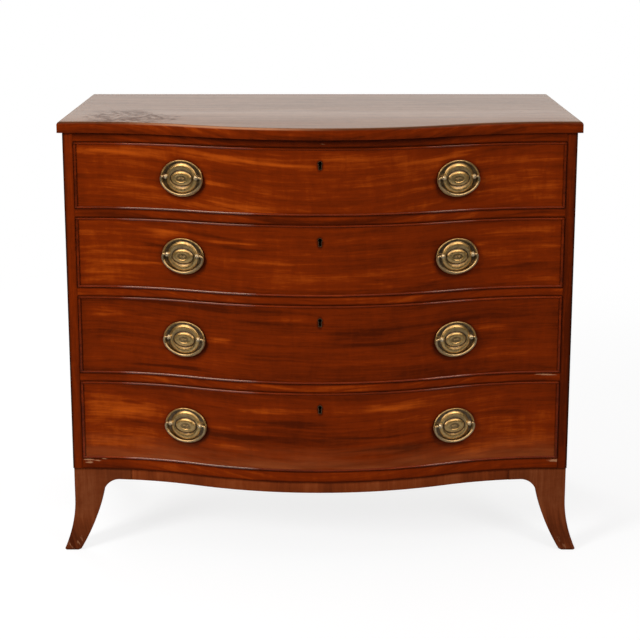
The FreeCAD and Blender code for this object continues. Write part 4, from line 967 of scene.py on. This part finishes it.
plates, inside, end = geometry_tree("stamped_plates", {
    "Section": "Object", "Rows": "Int", "Columns": "Int", "Petals": "Float", "Rosette": "Float",
    "Place X": "Float", "Place Y": "Float", "Place Z": "Float", "Turn": "Float", "Finish": "Material"})
section = step(plates, "GeometryNodeObjectInfo", {"Object": inside["Section"]})["Geometry"]
section = step(plates, "GeometryNodeCurveSplineType", {"Curve": section}, spline_type="CATMULL_ROM")["Curve"]
grid = step(plates, "GeometryNodeMeshGrid", {
    "Size X": 1.0, "Size Y": 1.0, "Vertices X": inside["Rows"], "Vertices Y": inside["Columns"]})["Mesh"]
cell = add(plates, "SeparateXYZ", {0: step(plates, "GeometryNodeInputPosition")[0]}).outputs
share = sums(plates, "POWER", plus(plates, cell["X"], 0.5), ROW_CROWDING)
around = times(plates, plus(plates, cell["Y"], 0.5), math.tau)
ring = step(plates, "GeometryNodeSampleCurve", {"Curves": section, "Factor": share}, mode="FACTOR")["Position"]
ring = add(plates, "SeparateXYZ", {0: ring}).outputs
plate_x = times(plates, ring["X"], sums(plates, "COSINE", around))
plate_z = times(plates, ring["Y"], sums(plates, "SINE", around))
petal = sums(plates, "COSINE", times(plates, around, inside["Petals"]))
petal = spread(plates, petal, *PETAL_EDGES)
inner = spread(plates, ring["X"], 0.002, 0.0098, 1.0, 0.0, soft=True)
core = spread(plates, ring["X"], 0.0016, 0.0026, 1.0, 0.0, soft=True)
flower = sums(plates, "MAXIMUM", times(plates, inner, petal), core)
flower = times(plates, flower, inside["Rosette"])
outer_side = sums(plates, "GREATER_THAN", ring["Z"], FRONT_ABOVE)
height = plus(plates, ring["Z"], times(plates, flower, outer_side))
spot = add(plates, "CombineXYZ", {0: plate_x, 1: times(plates, height, -1.0), 2: plate_z}).outputs[0]
print("plate tree with", len(plates.nodes), "nodes")

# %% [markdown]
# Brown patina stays where a cloth does not reach: in the sunk ring, in the groove round the middle, and a little
# in the rosette and on the rim. The slope beside the groove is darkened too, as painted shade that dims its bright
# reflection. Both are kept as one attribute of the mesh, which the brass above reads.

# %% Patina of a plate
def patina_and_shade_ring(middle, edges, strength):
    """A darker ring by its distance from the plate's middle along the long axis: patina in the groove, painted shade on
    the slope.
    """
    off = sums(plates, "ABSOLUTE", minus(plates, ring["X"], middle))
    return spread(plates, off, *edges, strength, 0.0)


sunk = spread(plates, height, 0.0009, 0.0025, 0.9, 0.0, soft=True)
rolled = spread(plates, ring["X"], 0.0425, 0.0435, 0.0, 0.18)
groove = patina_and_shade_ring(0.0234, (0.0005, 0.0022), 0.95)
motif = spread(plates, ring["X"], 0.0098, 0.0125, 0.55, 0.0)
# Painted shade on the slope beside the groove, which dims its bright reflection
slope_shade = patina_and_shade_ring(0.0254, (0.0009, 0.0024), 0.45)
for darker in (rolled, groove, motif, slope_shade):
    sunk = sums(plates, "MAXIMUM", sunk, darker)
marked = step(plates, "GeometryNodeStoreNamedAttribute", {"Geometry": grid, "Name": "patina", "Value": sunk},
              data_type="FLOAT", domain="POINT")["Geometry"]
shaped = step(plates, "GeometryNodeSetPosition", {"Geometry": marked, "Position": spot})["Geometry"]
closed = step(plates, "GeometryNodeMergeByDistance", {"Geometry": shaped, "Distance": 0.00001})["Geometry"]
print("patina by height and in 4 rings")

# %% [markdown]
# Each drawer carries two plates, the same distance to the left and to the right, each turned to the
# hollow of the front. So the tree ends by setting its plate on both ends of a line.

# %% Pair of plates
left_x = times(plates, inside["Place X"], -1.0)
left_end = add(plates, "CombineXYZ", {0: left_x, 1: inside["Place Y"], 2: inside["Place Z"]}).outputs[0]
to_right = add(plates, "CombineXYZ", {0: times(plates, inside["Place X"], 2.0)}).outputs[0]
pair = step(plates, "GeometryNodeMeshLine", {"Count": 2, "Start Location": left_end, "Offset": to_right})["Mesh"]
side = minus(plates, times(plates, step(plates, "GeometryNodeInputIndex")[0], 2.0), 1.0)
turned = add(plates, "CombineXYZ", {2: times(plates, side, inside["Turn"])}).outputs[0]
placed = step(plates, "GeometryNodeInstanceOnPoints", {
    "Points": pair, "Instance": closed, "Rotation": turned})["Instances"]
real = step(plates, "GeometryNodeRealizeInstances", {0: placed})["Geometry"]
smooth = step(plates, "GeometryNodeSetShadeSmooth", {"Geometry": real})["Geometry"]
finished = step(plates, "GeometryNodeSetMaterial", {"Geometry": smooth, "Material": inside["Finish"]})["Geometry"]
plates.links.new(finished, end)
print("plate tree ends with a pair,", len(plates.nodes), "nodes")

# %% [markdown]
# The tree runs once for each drawer, and its result is kept as a plain mesh in place of the smooth CAD
# plates. A plate stands on the front's face at the middle of the drawer's height.

# %% Stamped plates
HANDLE_X = 0.276935
HANDLE_Y = -0.219871
HANDLE_TURN = math.radians(17.9555)
HANDLE_LIFT = 0.001868
PLATE_X = HANDLE_X + HANDLE_LIFT * math.sin(HANDLE_TURN)
PLATE_Y = HANDLE_Y - HANDLE_LIFT * math.cos(HANDLE_TURN)
PLATE_MAKE = {"Rows": 130, "Columns": 97, "Petals": 8.0, "Rosette": 0.0005}


def made_by(tree, name, values):
    """Runs a tree once and keeps its result as a plain mesh object, with its faces outwards."""
    piece = bpy.data.objects.new(name, bpy.data.meshes.new(name))
    scene.collection.objects.link(piece)
    modifier = piece.modifiers.new("tree", "NODES")
    modifier.node_group = tree
    for socket in tree.interface.items_tree:
        if socket.in_out == "INPUT":
            modifier[socket.identifier] = values[socket.name]
    mesh = bpy.data.meshes.new_from_object(piece.evaluated_get(bpy.context.evaluated_depsgraph_get()))
    piece.modifiers.clear()
    piece.data = mesh
    work = bmesh.new()
    work.from_mesh(mesh)
    bmesh.ops.recalc_face_normals(work, faces=work.faces)
    work.to_mesh(mesh)
    work.free()
    mesh.name = name
    return piece


for number, (floor_z, height) in DRAWERS.items():
    piece = made_by(plates, f"drawer_{number}_stamped_plates", {
        "Section": section_object, **PLATE_MAKE, "Place X": PLATE_X, "Place Y": PLATE_Y,
        "Place Z": floor_z + height / 2, "Turn": HANDLE_TURN, "Finish": plate_brass})
    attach(piece, f"drawer_{number}")
    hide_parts(f"drawer_{number}_handle_plates")
    print(piece.name, len(piece.data.polygons), "faces")
bpy.data.objects.remove(section_object)
